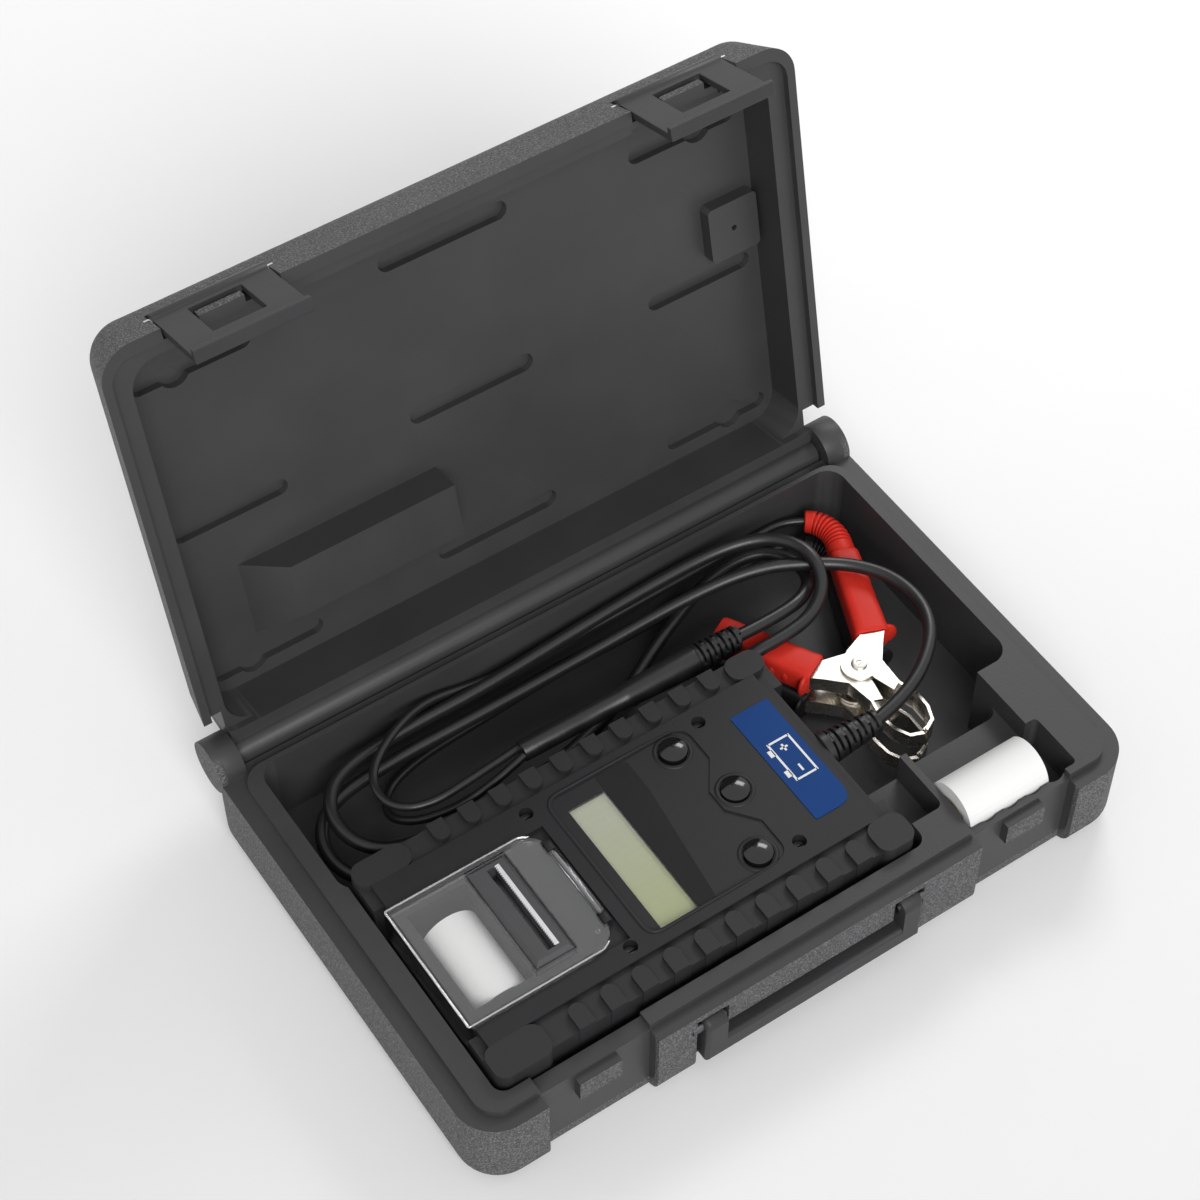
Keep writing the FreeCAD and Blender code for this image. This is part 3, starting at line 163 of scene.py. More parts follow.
# Cords: radius, length in metres, and the route from the tester or the clamp to the junction
MAIN_R, MAIN_L = 2.8, 1.18
LEAD_R, RED_L, BLACK_L = 1.8, 0.301, 0.294
MAIN_ROUTE = [
    (77, -30, 38.5), (96, -27, 39.1), (118, -13, 40), (127.5, 3, 39.5), (127.5, 22, 38),
    (119, 37, 37), (105, 47.5, 37.4), (85, 58.5, 37.2), (56, 65, 32.5), (5, 67.5, 26),
    (-45, 68, 24), (-83, 68.8, 23.2), (-114.7, 66.2, 22.5), (-127, 53.9, 21.3), (-127, 36.5, 20),
    (-114.7, 24.2, 18.8), (-84, 23.6, 18), (-42, 24.6, 18.5), (0, 25.2, 21), (33, 24.2, 30),
    (56, 24.7, 36.6), (72, 24.4, 36.7), (88, 26.5, 37), (99.5, 34.5, 39.8), (103.5, 46, 43.6),
    (101, 58, 43.2), (92, 68.5, 41), (74, 74.5, 38.5), (44, 76.2, 36), (2, 75.6, 33),
    (-40, 73.8, 31), (-76, 74.6, 30.2), (-106.7, 72.3, 29.5), (-119, 60.2, 28.5), (-119, 42.8, 27.3),
    (-106.7, 30.5, 25.5), (-78, 30.2, 22), (-38, 33.5, 16), (4, 44, 16), (39, 62, 20),
    (67, 72.7, 24), (91, 73.4, 27), (102.3, 62.2, 28.6), (102.3, 46.6, 31.6), (91, 35.9, 36.4),
    (73.2, 33.7, 37.4), (56, 33.3, 39.2)]
RED_ROUTE = [
    (120.3, 74.6, 26.4), (113.4, 79.6, 26.4), (97, 79.4, 26.6), (70, 78.4, 26.4), (30, 78, 26),
    (2, 78.8, 24.6), (-38, 79.3, 27), (-64, 78.6, 36), (-86, 69, 39), (-101, 57.5, 37.5),
    (-101.5, 42, 37.5), (-89, 33, 39), (-66, 34, 40.4), (-46, 36.6, 39.2)]
BLACK_ROUTE = [
    (119.8, 73.1, 12.75), (112.6, 78.5, 12.8), (96, 78, 12.8), (70, 76.4, 12.8), (40, 74.4, 12.2),
    (-2, 74.8, 13), (-42, 72.6, 12), (-72, 70.4, 13), (-92, 63, 15), (-99.5, 48, 20),
    (-90, 35, 27), (-67, 28.2, 35.5), (-46, 32.4, 39.2)]

# Modifiers and meshes: distances in metres, angles in degrees
WELD, MERGE = 0.000002, 0.000003
FLAT_ANGLE, BEVEL_ANGLE, CREASE, COLLAR_CREASE = 0.6, 35, 32, 50
# Softened edges on the moulded solids: width in millimetres and segments
SOFT_EDGES = [
    (("case_base", "lid"), 0.6, 2),
    (("latch_left", "latch_right", "carry_handle"), 0.4, 2),
    (("tester_lower_shell", "tester_upper_shell"), 0.35, 2),
    (("grip_rail_front", "grip_rail_back"), 0.8, 3),
    (("printer_cover",), 0.5, 3),
    (("printer_frame",), 0.3, 2)]
# Least radius in a turned profile, in millimetres, in place of a point on the axis
THINNEST = 0.001

# Light and camera, in metres and degrees
FLOOR_REACH, FLOOR_DROP = 6.0, 0.0002
FILL_STRENGTH, BACKDROP_STRENGTH = 0.4, 1.0
KEY_WAY, KEY_STRENGTH, KEY_SPREAD = (0.3, 0.85, -0.7), 2.15, 35
SOFTBOX_SIZE, SOFTBOX_POWER = (0.55, 0.38), 5.5
SOFTBOX_WAY, SOFTBOX_AWAY = (0.602, 0.465, 0.647), 1.5
CAMERA_LENS, CAMERA_SENSOR, CAMERA_FAR = 84.42, 36.0, 20.0
CAMERA_PLACE = (-0.36634, -0.50197, 0.93194)
CAMERA_TURN = (38.0355, 0.1641, -33.8740)

# Case plastic. The sand's scale keeps flat walls off the noise's lattice, where it would vanish.
CASE_GREY = (0.045, 0.045, 0.0465)
SPECK_GREY = (0.22, 0.22, 0.225)
CASE_DRIFT, SAND, PITS, SATIN = 22.0, 1437.3, 1100.0, 900.0
PIT_SHARE, SATIN_SHARE, CASE_RELIEF = 0.6, 0.12, 0.00035
CASE_SPREAD, COARSE_LIFT = 0.1, 1.2
SMOOTH_ROUGH, COARSE_ROUGH, CASE_ROUGH_SPREAD, CASE_GLOSS = 0.44, 0.62, 0.04, 0.3
SKIN_DEPTH, SKIN_FADE = 0.0026, 0.0006
WALL_BAND, TOP_BAND, SPECK_BAND = (0.6, 0.9), (0.85, 0.95), (0.46, 0.68)

# Other finishes. Most values of a noise lie in its band; scales are per metre and relief is in metres.
NOISE_BAND = (0.3, 0.7)
MOULD_DRIFT, DRIFT_SHARE, FINE_SHARE, ROUGH_SPREAD = 38.0, 0.65, 0.35, 0.06
METAL_HAZE, METAL_DIM, METAL_RELIEF = 140.0, 0.93, 0.00002
METAL_SMOOTHER, METAL_ROUGHER = 0.05, 0.07
CLEAR_SCUFF, CLEAR_DIM, CLEAR_ROUGHER, CLEAR_BLEND = 420.0, 0.94, 0.04, 0.28
PAPER_FIBRE, PAPER_ROUGH, PAPER_RELIEF = 900.0, (0.55, 0.7), 0.00004
PAPER_RINGS, PAPER_RING_SHARE, PAPER_DIM = 30000.0, 0.5, 0.93
DISPLAY_GREEN, DISPLAY_GREY, DISPLAY_DIM = (0.41, 0.45, 0.22), (0.5, 0.52, 0.4), 0.97
DISPLAY_HAZE, DISPLAY_ROUGH = 300.0, (0.3, 0.42)


def metres(place):
    return tuple(v * MM for v in place)


def placed(name, data):
    made = bpy.data.objects.new(name, data)
    bpy.context.scene.collection.objects.link(made)
    return made


# Material building blocks
class Net:
    """One material's node tree, with short calls for the nodes that the finishes share."""

    def __init__(self, name):
        self.mat = bpy.data.materials.new(name)
        self.mat.use_nodes = True
        self.tree = self.mat.node_tree
        self.bsdf = self.tree.nodes["Principled BSDF"]
        self.place = self.node("ShaderNodeTexCoord").outputs["Object"]

    def node(self, kind, **settings):
        made = self.tree.nodes.new(kind)
        for key, value in settings.items():
            setattr(made, key, value)
        return made

    def link(self, source, target):
        self.tree.links.new(source, target)

    def feed(self, target, value):
        if isinstance(value, bpy.types.NodeSocket):
            self.link(value, target)
        else:
            target.default_value = value

    def math(self, operation, *values):
        made = self.node("ShaderNodeMath", operation=operation)
        for target, value in zip(made.inputs, values):
            self.feed(target, value)
        return made.outputs[0]

    def vector(self, operation, *values):
        made = self.node("ShaderNodeVectorMath", operation=operation)
        for target, value in zip(made.inputs, values):
            self.feed(target, value)
        return made.outputs["Value" if operation in ("LENGTH", "DOT_PRODUCT") else "Vector"]

    def noise(self, scale, detail=3.0, rough=0.55, place=None):
        made = self.node("ShaderNodeTexNoise")
        self.link(place or self.place, made.inputs["Vector"])
        made.inputs["Scale"].default_value = scale
        made.inputs["Detail"].default_value = detail
        made.inputs["Roughness"].default_value = rough
        return made.outputs["Fac"]

    def cells(self, scale):
        made = self.node("ShaderNodeTexVoronoi", feature="F1")
        self.link(self.place, made.inputs["Vector"])
        made.inputs["Scale"].default_value = scale
        return made.outputs["Distance"]

    def span(self, value, low, high, to_low, to_high):
        made = self.node("ShaderNodeMapRange")
        for target, given in zip(made.inputs, (value, low, high, to_low, to_high)):
            self.feed(target, given)
        return made.outputs["Result"]

    def band(self, noise, to_low, to_high):
        return self.span(noise, *NOISE_BAND, to_low, to_high)

    def blend(self, factor, first, second, **settings):
        made = self.node("ShaderNodeMix", data_type="RGBA", **settings)
        self.feed(made.inputs[0], factor)
        for target, colour in ((made.inputs[6], first), (made.inputs[7], second)):
            self.feed(target, colour if isinstance(colour, bpy.types.NodeSocket) else (*colour, 1.0))
        return made.outputs[2]

    def bump(self, height, depth):
        made = self.node("ShaderNodeBump")
        self.link(height, made.inputs["Height"])
        made.inputs["Distance"].default_value = depth
        made.inputs["Strength"].default_value = 1.0
        return made.outputs["Normal"]

    def turned(self, vector, centre=(0, 0, 0)):
        """Turn about X from the open lid to the shut one."""
        made = self.node("ShaderNodeVectorRotate", rotation_type="X_AXIS")
        self.link(vector, made.inputs["Vector"])
        made.inputs["Center"].default_value = centre
        made.inputs["Angle"].default_value = math.radians(LID_OPEN)
        return made.outputs["Vector"]

    def xyz(self, place):
        made = self.node("ShaderNodeSeparateXYZ")
        self.link(place, made.inputs[0])
        return made.outputs

    def set(self, **inputs):
        for key, value in inputs.items():
            self.feed(self.bsdf.inputs[key.replace("_", " ")], value)


def shade(colour, factor):
    return tuple(c * factor for c in colour)


def moulded(name, colour, rough, grain, depth, spread=0.14, gloss=0.3):
    """Plastic or rubber: fine relief, a slow drift of colour and a matching drift of gloss."""
    net = Net(name)
    drift = net.noise(MOULD_DRIFT, detail=4.0)
    fine = net.noise(grain, detail=2.0)
    both = net.math("ADD", net.math("MULTIPLY", drift, DRIFT_SHARE), net.math("MULTIPLY", fine, FINE_SHARE))
    net.set(Base_Color=net.blend(net.band(both, 0, 1), shade(colour, 1 - spread), shade(colour, 1 + spread)),
            Roughness=net.band(both, rough - ROUGH_SPREAD, rough + ROUGH_SPREAD),
            Specular_IOR_Level=gloss,
            Normal=net.bump(fine, depth))
    return net.mat


def outer_skin(net, place, box, lean):
    """1 on the outside of a rounded box, whose walls lean inwards above the rim, and 0 further in."""
    centre, half = metres(box[0]), metres(box[1])
    radius = CASE_CORNER * MM
    rise = net.math("MULTIPLY", net.math("SUBTRACT", net.xyz(place)[2], HINGE[2] * MM), lean)
    inwards = net.node("ShaderNodeCombineXYZ")
    net.link(rise, inwards.inputs["X"])
    net.link(rise, inwards.inputs["Y"])
    local = net.vector("ABSOLUTE", net.vector("SUBTRACT", place, centre))
    local = net.vector("ADD", local, inwards.outputs["Vector"])
    corner = net.vector("SUBTRACT", local, tuple(h - radius for h in half))
    gap = net.vector("LENGTH", net.vector("MAXIMUM", corner, (0, 0, 0)))
    edge = radius - SKIN_DEPTH
    return net.span(gap, edge - SKIN_FADE, edge + SKIN_FADE, 0, 1)


def case_plastic(name, box, lean, is_lid):
    """Moulded case: smooth satin inside, sand-blasted grain with pale specks on the outer skin."""
    net = Net(name)
    place = net.place
    normal = net.node("ShaderNodeNewGeometry").outputs["Normal"]
    if is_lid:
        place = net.turned(place, metres(HINGE))
        normal = net.turned(normal)
    up = net.vector("DOT_PRODUCT", normal, (0, 0, 1))
    wall = net.span(net.math("ABSOLUTE", up), *WALL_BAND, 1, 0)
    skin = net.math("MULTIPLY", outer_skin(net, place, box, lean), wall)
    if is_lid:
        skin = net.math("MAXIMUM", skin, net.span(up, *TOP_BAND, 0, 1))
    drift = net.noise(CASE_DRIFT, detail=5.0)
    sand = net.noise(SAND, rough=0.7)
    darker, paler = shade(CASE_GREY, 1 - CASE_SPREAD), shade(CASE_GREY, 1 + CASE_SPREAD)
    plain = net.blend(net.band(drift, 0, 1), darker, paler)
    coarse = net.blend(net.span(sand, *SPECK_BAND, 0, 1), shade(CASE_GREY, COARSE_LIFT), SPECK_GREY)
    rough = net.span(skin, 0, 1, SMOOTH_ROUGH, COARSE_ROUGH)
    grain = net.math("ADD", sand, net.math("MULTIPLY", net.cells(PITS), PIT_SHARE))
    satin = net.math("MULTIPLY", net.noise(SATIN, detail=2.0), SATIN_SHARE)
    height = net.math("ADD", net.math("MULTIPLY", grain, skin), satin)
    net.set(Base_Color=net.blend(skin, plain, coarse),
            Roughness=net.math("ADD", rough, net.band(drift, -CASE_ROUGH_SPREAD, CASE_ROUGH_SPREAD)),
            Specular_IOR_Level=CASE_GLOSS,
            Normal=net.bump(height, CASE_RELIEF))
    return net.mat


def metal(name, colour, rough, streak):
    """Plated or bare metal with fine drawn lines."""
    net = Net(name)
    lines = net.node("ShaderNodeMapping")
    net.link(net.place, lines.inputs["Vector"])
    lines.inputs["Scale"].default_value = streak
    grain = net.noise(1.0, rough=0.6, place=lines.outputs["Vector"])
    haze = net.noise(METAL_HAZE, detail=4.0)
    net.set(Base_Color=net.blend(haze, shade(colour, METAL_DIM), colour),
            Metallic=1.0,
            Roughness=net.band(grain, rough - METAL_SMOOTHER, rough + METAL_ROUGHER),
            Normal=net.bump(grain, METAL_RELIEF))
    return net.mat


def clear_plastic(name, tint, rough, face, rim):
    """Clear sheet that lets the lamps through and mirrors more towards grazing view."""
    net = Net(name)
    scuff = net.noise(CLEAR_SCUFF, detail=4.0)
    edge = net.node("ShaderNodeLayerWeight")
    edge.inputs["Blend"].default_value = CLEAR_BLEND
    net.set(Base_Color=net.blend(scuff, shade(tint, CLEAR_DIM), tint),
            Metallic=1.0,
            Roughness=net.band(scuff, rough, rough + CLEAR_ROUGHER),
            Alpha=net.span(edge.outputs["Facing"], 0, 1, face, rim))
    return net.mat


def paper_stock(name, along, white):
    """White thermal paper: faint fibres, and fine rings where the layers show at the roll's ends."""
    net = Net(name)
    fibre = net.noise(PAPER_FIBRE, detail=5.0, rough=0.7)
    flat = [0.0 if i == along else 1.0 for i in range(3)]
    away = net.vector("LENGTH", net.vector("MULTIPLY", net.place, flat))
    rings = net.math("SINE", net.math("MULTIPLY", away, PAPER_RINGS))
    net.set(Base_Color=net.blend(net.span(rings, -1, 1, 0, PAPER_RING_SHARE), white, shade(white, PAPER_DIM)),
            Roughness=net.band(fibre, *PAPER_ROUGH),
            Normal=net.bump(fibre, PAPER_RELIEF))
    return net.mat


def lcd_glass(name):
    """Reflective display: olive grey film that turns greener towards the front, over a faint cell grid."""
    net = Net(name)
    cells = net.node("ShaderNodeTexBrick", offset=0.0)
    net.link(net.place, cells.inputs["Vector"])
    for key, value in (
            ("Scale", 1.0), ("Brick Width", DISPLAY_CELL[0] * MM), ("Row Height", DISPLAY_CELL[1] * MM),
            ("Mortar Size", DISPLAY_CELL_GAP * MM), ("Mortar", (1, 1, 1, 1)),
            ("Color1", (DISPLAY_DIM, DISPLAY_DIM, DISPLAY_DIM, 1)),
            ("Color2", (DISPLAY_DIM, DISPLAY_DIM, DISPLAY_DIM, 1))):
        cells.inputs[key].default_value = value
    fade = net.span(net.xyz(net.place)[1], DISPLAY_FRONT * MM, DISPLAY_BACK * MM, 0, 1)
    film = net.blend(fade, DISPLAY_GREEN, DISPLAY_GREY)
    net.set(Base_Color=net.blend(1.0, film, cells.outputs["Color"], blend_type="MULTIPLY"),
            Roughness=net.band(net.noise(DISPLAY_HAZE), *DISPLAY_ROUGH))
    return net.mat


# Moulded finishes give colour, roughness, grain scale, relief, colour spread and gloss
MATERIALS = {
    "case": case_plastic("case_plastic", BASE_BOX, 0.0, False),
    "lid": case_plastic("lid_plastic", LID_BOX, LID_LEAN, True),
    "latch": moulded("latch_plastic", (0.034, 0.034, 0.036), 0.42, 1500.0, 0.00005),
    "handle": moulded("handle_plastic", (0.034, 0.034, 0.036), 0.5, 900.0, 0.00012),
    "housing": moulded("housing_plastic", (0.019, 0.019, 0.0205), 0.45, 2600.0, 0.00004, gloss=0.22),
    "grip": moulded("grip_rubber", (0.021, 0.021, 0.0225), 0.56, 1700.0, 0.00006),
    "key": moulded("key_plastic", (0.008, 0.008, 0.0085), 0.13, 1200.0, 0.000002, gloss=0.5),
    "cable": moulded("cable_vinyl", (0.012, 0.012, 0.013), 0.36, 700.0, 0.00003, gloss=0.45),
    "red_vinyl": moulded("red_vinyl", (0.64, 0.03, 0.018), 0.45, 800.0, 0.00005, 0.1, 0.2),
    "black_vinyl": moulded("black_vinyl", (0.014, 0.014, 0.015), 0.4, 800.0, 0.00005),
    "printer": moulded("printer_plastic", (0.06, 0.06, 0.063), 0.42, 1800.0, 0.00004, gloss=0.4),
    "board": moulded("board_laminate", (0.02, 0.11, 0.05), 0.4, 900.0, 0.00003),
    "motor": metal("motor_can", (0.55, 0.55, 0.56), 0.32, (600, 3000, 600)),
    "steel": metal("pin_steel", (0.62, 0.62, 0.63), 0.28, (3000, 500, 3000)),
    "screw": metal("screw_steel", (0.12, 0.12, 0.125), 0.35, (1500, 1500, 1500)),
    "tear": metal("tear_steel", (0.66, 0.66, 0.67), 0.25, (2500, 300, 2500)),
    "nickel": metal("nickel_plate", (0.72, 0.68, 0.62), 0.26, (220, 60, 220)),
    "clear": clear_plastic("clear_plastic", (0.93, 0.94, 0.94), 0.03, 0.028, 0.45),
    "window": clear_plastic("window_plastic", (0.97, 0.97, 0.97), 0.05, 0.015, 0.5),
    "edge": clear_plastic("clear_edge", (0.93, 0.94, 0.94), 0.08, 0.3, 0.75),
    "display": lcd_glass("display_film"),
    "roller": moulded("roller_rubber", (0.03, 0.03, 0.032), 0.6, 1500.0, 0.00005),
    "gear": moulded("gear_nylon", (0.7, 0.68, 0.62), 0.4, 900.0, 0.00003),
    "label": moulded("label_film", (0.005, 0.045, 0.19), 0.4, 300.0, 0.000004, 0.06, 0.12),
    "film": moulded("surround_film", (0.006, 0.006, 0.0065), 0.2, 900.0, 0.000002, gloss=0.25),
    "ink": moulded("white_ink", (0.82, 0.82, 0.82), 0.45, 1500.0, 0.00001, 0.04),
    "core": moulded("core_card", (0.5, 0.42, 0.3), 0.7, 1200.0, 0.00006),
    # Painted light: the roll in the printer bay has whiter paper (0.96) than the spare roll (0.88), to make
    # up for the shade under the clear cover; both are the same paper
    "paper": paper_stock("paper_stock", 1, (0.96, 0.96, 0.945)),
    "spare_paper": paper_stock("spare_paper_stock", 0, (0.88, 0.88, 0.865)),
}
NODE_FINISH = {
    "case_base": "case", "lid": "lid", "latch_left": "latch", "latch_right": "latch",
    "carry_handle": "handle", "hinge_pins": "steel", "handle_pins": "screw", "latch_pins": "steel",
    "tester_lower_shell": "housing", "tester_upper_shell": "housing",
    "grip_rail_front": "grip", "grip_rail_back": "grip", "body_screws": "screw",
    "display_window": "window", "lcd_module": "display", "main_board": "board", "dome_switches": "steel",
    "button_back": "key", "button_middle": "key", "button_front": "key", "label_plate": "label",
    "printer_frame": "printer", "tear_bar": "tear", "print_head": "motor", "platen_roller": "roller",
    "platen_gear": "gear", "printer_motor": "motor", "motor_pinion": "gear", "printer_cover": "clear",
    "cover_pin": "screw", "paper_roll": "paper", "paper_core": "core", "spare_roll": "spare_paper",
    "spare_core": "core", "strain_relief": "cable", "lead_junction": "cable", "main_cable": "cable",
    "red_lead": "cable", "black_lead": "cable"}
for side in CLAMPS:
    for kind in ("fixed_lever", "moving_lever", "rivet", "spring"):
        NODE_FINISH[side + "_" + kind] = "nickel"
    for kind in ("fixed_sleeve", "moving_sleeve", "boot"):
        NODE_FINISH[side + "_" + kind] = side + "_vinyl"
for name, finish in NODE_FINISH.items():
    nodes[name].data.materials.clear()
    nodes[name].data.materials.append(MATERIALS[finish])

for names, width, segments in SOFT_EDGES:
    for name in names:
        solid = nodes[name]
        solid.modifiers.new("join", "WELD").merge_threshold = WELD
        plan = solid.modifiers.new("plan", "DECIMATE")
        plan.decimate_type = "DISSOLVE"
        plan.angle_limit = math.radians(FLAT_ANGLE)
        bevel = solid.modifiers.new("edge", "BEVEL")
        bevel.width = width * MM
        bevel.segments = segments
        bevel.limit_method = "ANGLE"
        bevel.angle_limit = math.radians(BEVEL_ANGLE)
        bevel.use_clamp_overlap = True
        bevel.harden_normals = True


# Shapes as (points, faces) in millimetres
def joined(*shapes):
    points, faces = [], []
    for some, sides in shapes:
        faces += [[i + len(points) for i in side] for side in sides]
        points += some
    return points, faces


def skin(loops, closed=False):
    """Surface through loops of equal count, capped at both ends or closed on itself."""
    count = len(loops[0])
    points = [p for loop in loops for p in loop]
    faces = []
    pairs = [(k, k + 1) for k in range(len(loops) - 1)] + ([(len(loops) - 1, 0)] if closed else [])
    for a, b in pairs:
        for i in range(count):
            j = (i + 1) % count
            faces.append([a * count + i, a * count + j, b * count + j, b * count + i])
    if not closed:
        faces += [list(range(count)), list(range((len(loops) - 1) * count, len(loops) * count))]
    return points, faces


def ring(centre, way, radius, count):
    side = way.cross(Z_WAY if abs(way.z) < 0.9 else X_WAY).normalized()
    up = side.cross(way)
    turns = [2 * math.pi * i / count for i in range(count)]
    return [centre + side * (radius * math.cos(t)) + up * (radius * math.sin(t)) for t in turns]


def lathe(profile, start, way, count=40):
    return skin([ring(start + way * s, way, max(r, THINNEST), count) for s, r in profile])


def collar(profile, foot, count):
    """Upright ring whose section is the closed profile of heights and radii."""
    return skin([ring(foot + Z_WAY * s, Z_WAY, r, count) for s, r in profile], closed=True)


def prism(outline, low, high):
    return skin([[Vector((x, y, z)) for x, y in outline] for z in (low, high)])


def slab(x0, x1, y0, y1, z0, z1):
    return prism([(x0, y0), (x1, y0), (x1, y1), (x0, y1)], z0, z1)


def rounded(corners, steps=8):
    """Plan outline from (x, y, radius) corners."""
    outline = []
    for k, (x, y, radius) in enumerate(corners):
        here = Vector((x, y))
        before = (Vector(corners[k - 1][:2]) - here).normalized()
        after = (Vector(corners[(k + 1) % len(corners)][:2]) - here).normalized()
        reach = radius / math.tan(before.angle(after) / 2)
        start, end = here + before * reach, here + after * reach
        for i in range(steps + 1):
            t = i / steps
            p = (1 - t) ** 2 * start + 2 * t * (1 - t) * here + t * t * end
            outline.append((p.x, p.y))
    return outline


def open_path(corners, steps=8):
    """Rounded outline without the closing side: the first and last corner are its ends."""
    turns = rounded(corners, steps)[steps + 1:-(steps + 1)]
    start, end = corners[0][:2], corners[-1][:2]
    lead = [tuple(Vector(start).lerp(Vector(turns[0]), i / steps)) for i in range(steps)]
    tail = [tuple(Vector(turns[-1]).lerp(Vector(end), i / steps)) for i in range(1, steps + 1)]
    return lead + turns + tail


def tube(path, radius, z, count=14):
    """Round bead along an open plan path, thinner towards its two ends."""
    loops = []
    last = len(path) - 1
    for k, (x, y) in enumerate(path):
        before, after = path[max(k - 1, 0)], path[min(k + 1, last)]
        way = Vector((after[0] - before[0], after[1] - before[1], 0)).normalized()
        taper = min(1.0, BEAD_END + BEAD_STEP * min(k, last - k))
        loops.append(ring(Vector((x, y, z)), way, radius * taper, count))
    return skin(loops)


def blob(centre, axes, sizes, count=16):
    """Ellipsoid with the given axis directions."""
    along, wide, high = (axis * size for axis, size in zip(axes, sizes))
    turns = [2 * math.pi * i / count for i in range(count)]
    loops = []
    for k in range(1, count // 2):
        a = math.pi * k / (count // 2)
        middle = centre + along * math.cos(a)
        loops.append([middle + (wide * math.cos(t) + high * math.sin(t)) * math.sin(a) for t in turns])
    return skin(loops)


def piece(name, shape, finish, body, stands_for=(), crease=CREASE):
    mesh = bpy.data.meshes.new(name)
    mesh.from_pydata([Vector(p) * MM for p in shape[0]], [], shape[1])
    work = bmesh.new()
    work.from_mesh(mesh)
    bmesh.ops.remove_doubles(work, verts=work.verts, dist=MERGE)
    bmesh.ops.recalc_face_normals(work, faces=work.faces)
    work.to_mesh(mesh)
    work.free()
    mesh.shade_smooth()
    mesh.set_sharp_from_angle(angle=math.radians(crease))
    mesh.materials.append(MATERIALS[finish])
    made = placed(name, mesh)
    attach(made, body)
    if stands_for:
        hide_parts(*stands_for)
    return made


def body_of(node):
    return nodes[node]["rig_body"]


# Clamps: rounded grips with finger guards, curved bend reliefs, rivets and springs
def in_place(shape, side, flip):
    spot, turn = CLAMPS[side]
    move = Matrix.Translation(spot) @ Matrix.Rotation(math.radians(turn), 4, "Z")
    if flip:
        move = move @ Matrix.Scale(-1, 4, X_WAY)
    return [move @ Vector(p) for p in shape[0]], shape[1]


def grip_section(s, wide, high, power, count=40):
    """Rounded rectangle across the sleeve, as a superellipse."""
    loop = []
    for i in range(count):
        a = 2 * math.pi * i / count
        c, z = math.cos(a), math.sin(a)
        across = wide * math.copysign(abs(c) ** (2 / power), c)
        upwards = high * math.copysign(abs(z) ** (2 / power), z)
        loop.append(SLEEVE_NEAR + SLEEVE_WAY * s + SLEEVE_OUT * across + Z_WAY * upwards)
    return loop


def grip_shape():
    loops = [grip_section(*section, GRIP_INSIDE_POWER) for section in GRIP_INSIDE]
    loops += [grip_section(*section, GRIP_OUTSIDE_POWER) for section in GRIP_OUTSIDE]
    axes = (SLEEVE_WAY, SLEEVE_OUT, Z_WAY)
    guard = blob(SLEEVE_NEAR + SLEEVE_WAY * GUARD_AT + SLEEVE_OUT * GUARD_OUT, axes, GUARD_SIZE)
    spots = [SLEEVE_NEAR + SLEEVE_WAY * s + SLEEVE_OUT * NUB_OUT for s in NUBS_AT]
    return joined(skin(loops), guard, *[blob(spot, axes, NUB_SIZE, NUB_SIDES) for spot in spots])


def boot_point(s):
    """Place and direction on the boot's middle line: straight at first, then bent."""
    if s <= BOOT_RUN:
        return SLEEVE_FAR + SLEEVE_WAY * s, SLEEVE_WAY
    turn = (s - BOOT_RUN) / BOOT_BEND
    bend = SLEEVE_WAY * math.sin(turn) - SLEEVE_OUT * (1 - math.cos(turn))
    way = SLEEVE_WAY * math.cos(turn) - SLEEVE_OUT * math.sin(turn)
    return SLEEVE_FAR + SLEEVE_WAY * BOOT_RUN + bend * BOOT_BEND, way


def boot_radius(s):
    return BOOT_R - BOOT_TAPER * max(0.0, s - BOOT_TAPER_FROM) / (BOOT_L - BOOT_TAPER_FROM)


def boot_shape():
    stations = BOOT_FOOT + [(BOOT_FOOT_END, boot_radius(BOOT_FOOT_END))]
    pitch = (BOOT_L - BOOT_TAIL - BOOT_RIBS_FROM) / BOOT_RIBS
    for i in range(BOOT_RIBS):
        s = BOOT_RIBS_FROM + i * pitch
        stations += [(s + step, boot_radius(s) - depth) for step, depth in BOOT_GROOVE]
        stations.append((s + pitch - BOOT_LAND, boot_radius(s + pitch)))
    stations += BOOT_TIP
    return skin([ring(*boot_point(s), radius, BOOT_SIDES) for s, radius in stations])


def rivet_shape():
    return joined(lathe(RIVET, Vector((0, 0, 0)), Z_WAY), slab(*RIVET_BAR))


def spring_shape():
    climb = SPRING_HIGH - SPRING_LOW - 2 * SPRING_WIRE
    loops = []
    for i in range(SPRING_STEPS + 1):
        a = 2 * math.pi * SPRING_TURNS * i / SPRING_STEPS
        height = SPRING_LOW + SPRING_WIRE + climb * i / SPRING_STEPS
        at = Vector((SPRING_R * math.cos(a), SPRING_R * math.sin(a), height))
        loops.append(ring(at, Vector((-math.sin(a), math.cos(a), 0)), SPRING_WIRE, SPRING_WIRE_SIDES))
    return skin(loops)


for side in CLAMPS:
    vinyl = side + "_vinyl"
    for name, kind, shape, finish, flip in (
            ("fixed_sleeve_grip", "fixed_sleeve", grip_shape(), vinyl, False),
            ("moving_sleeve_grip", "moving_sleeve", grip_shape(), vinyl, True),
            ("bend_relief", "boot", boot_shape(), vinyl, False),
            ("rivet_head", "rivet", rivet_shape(), "nickel", False),
            ("coil", "spring", spring_shape(), "nickel", False)):
        node = side + "_" + kind
        piece(side + "_" + name, in_place(shape, side, flip), finish, body_of(node), [node])


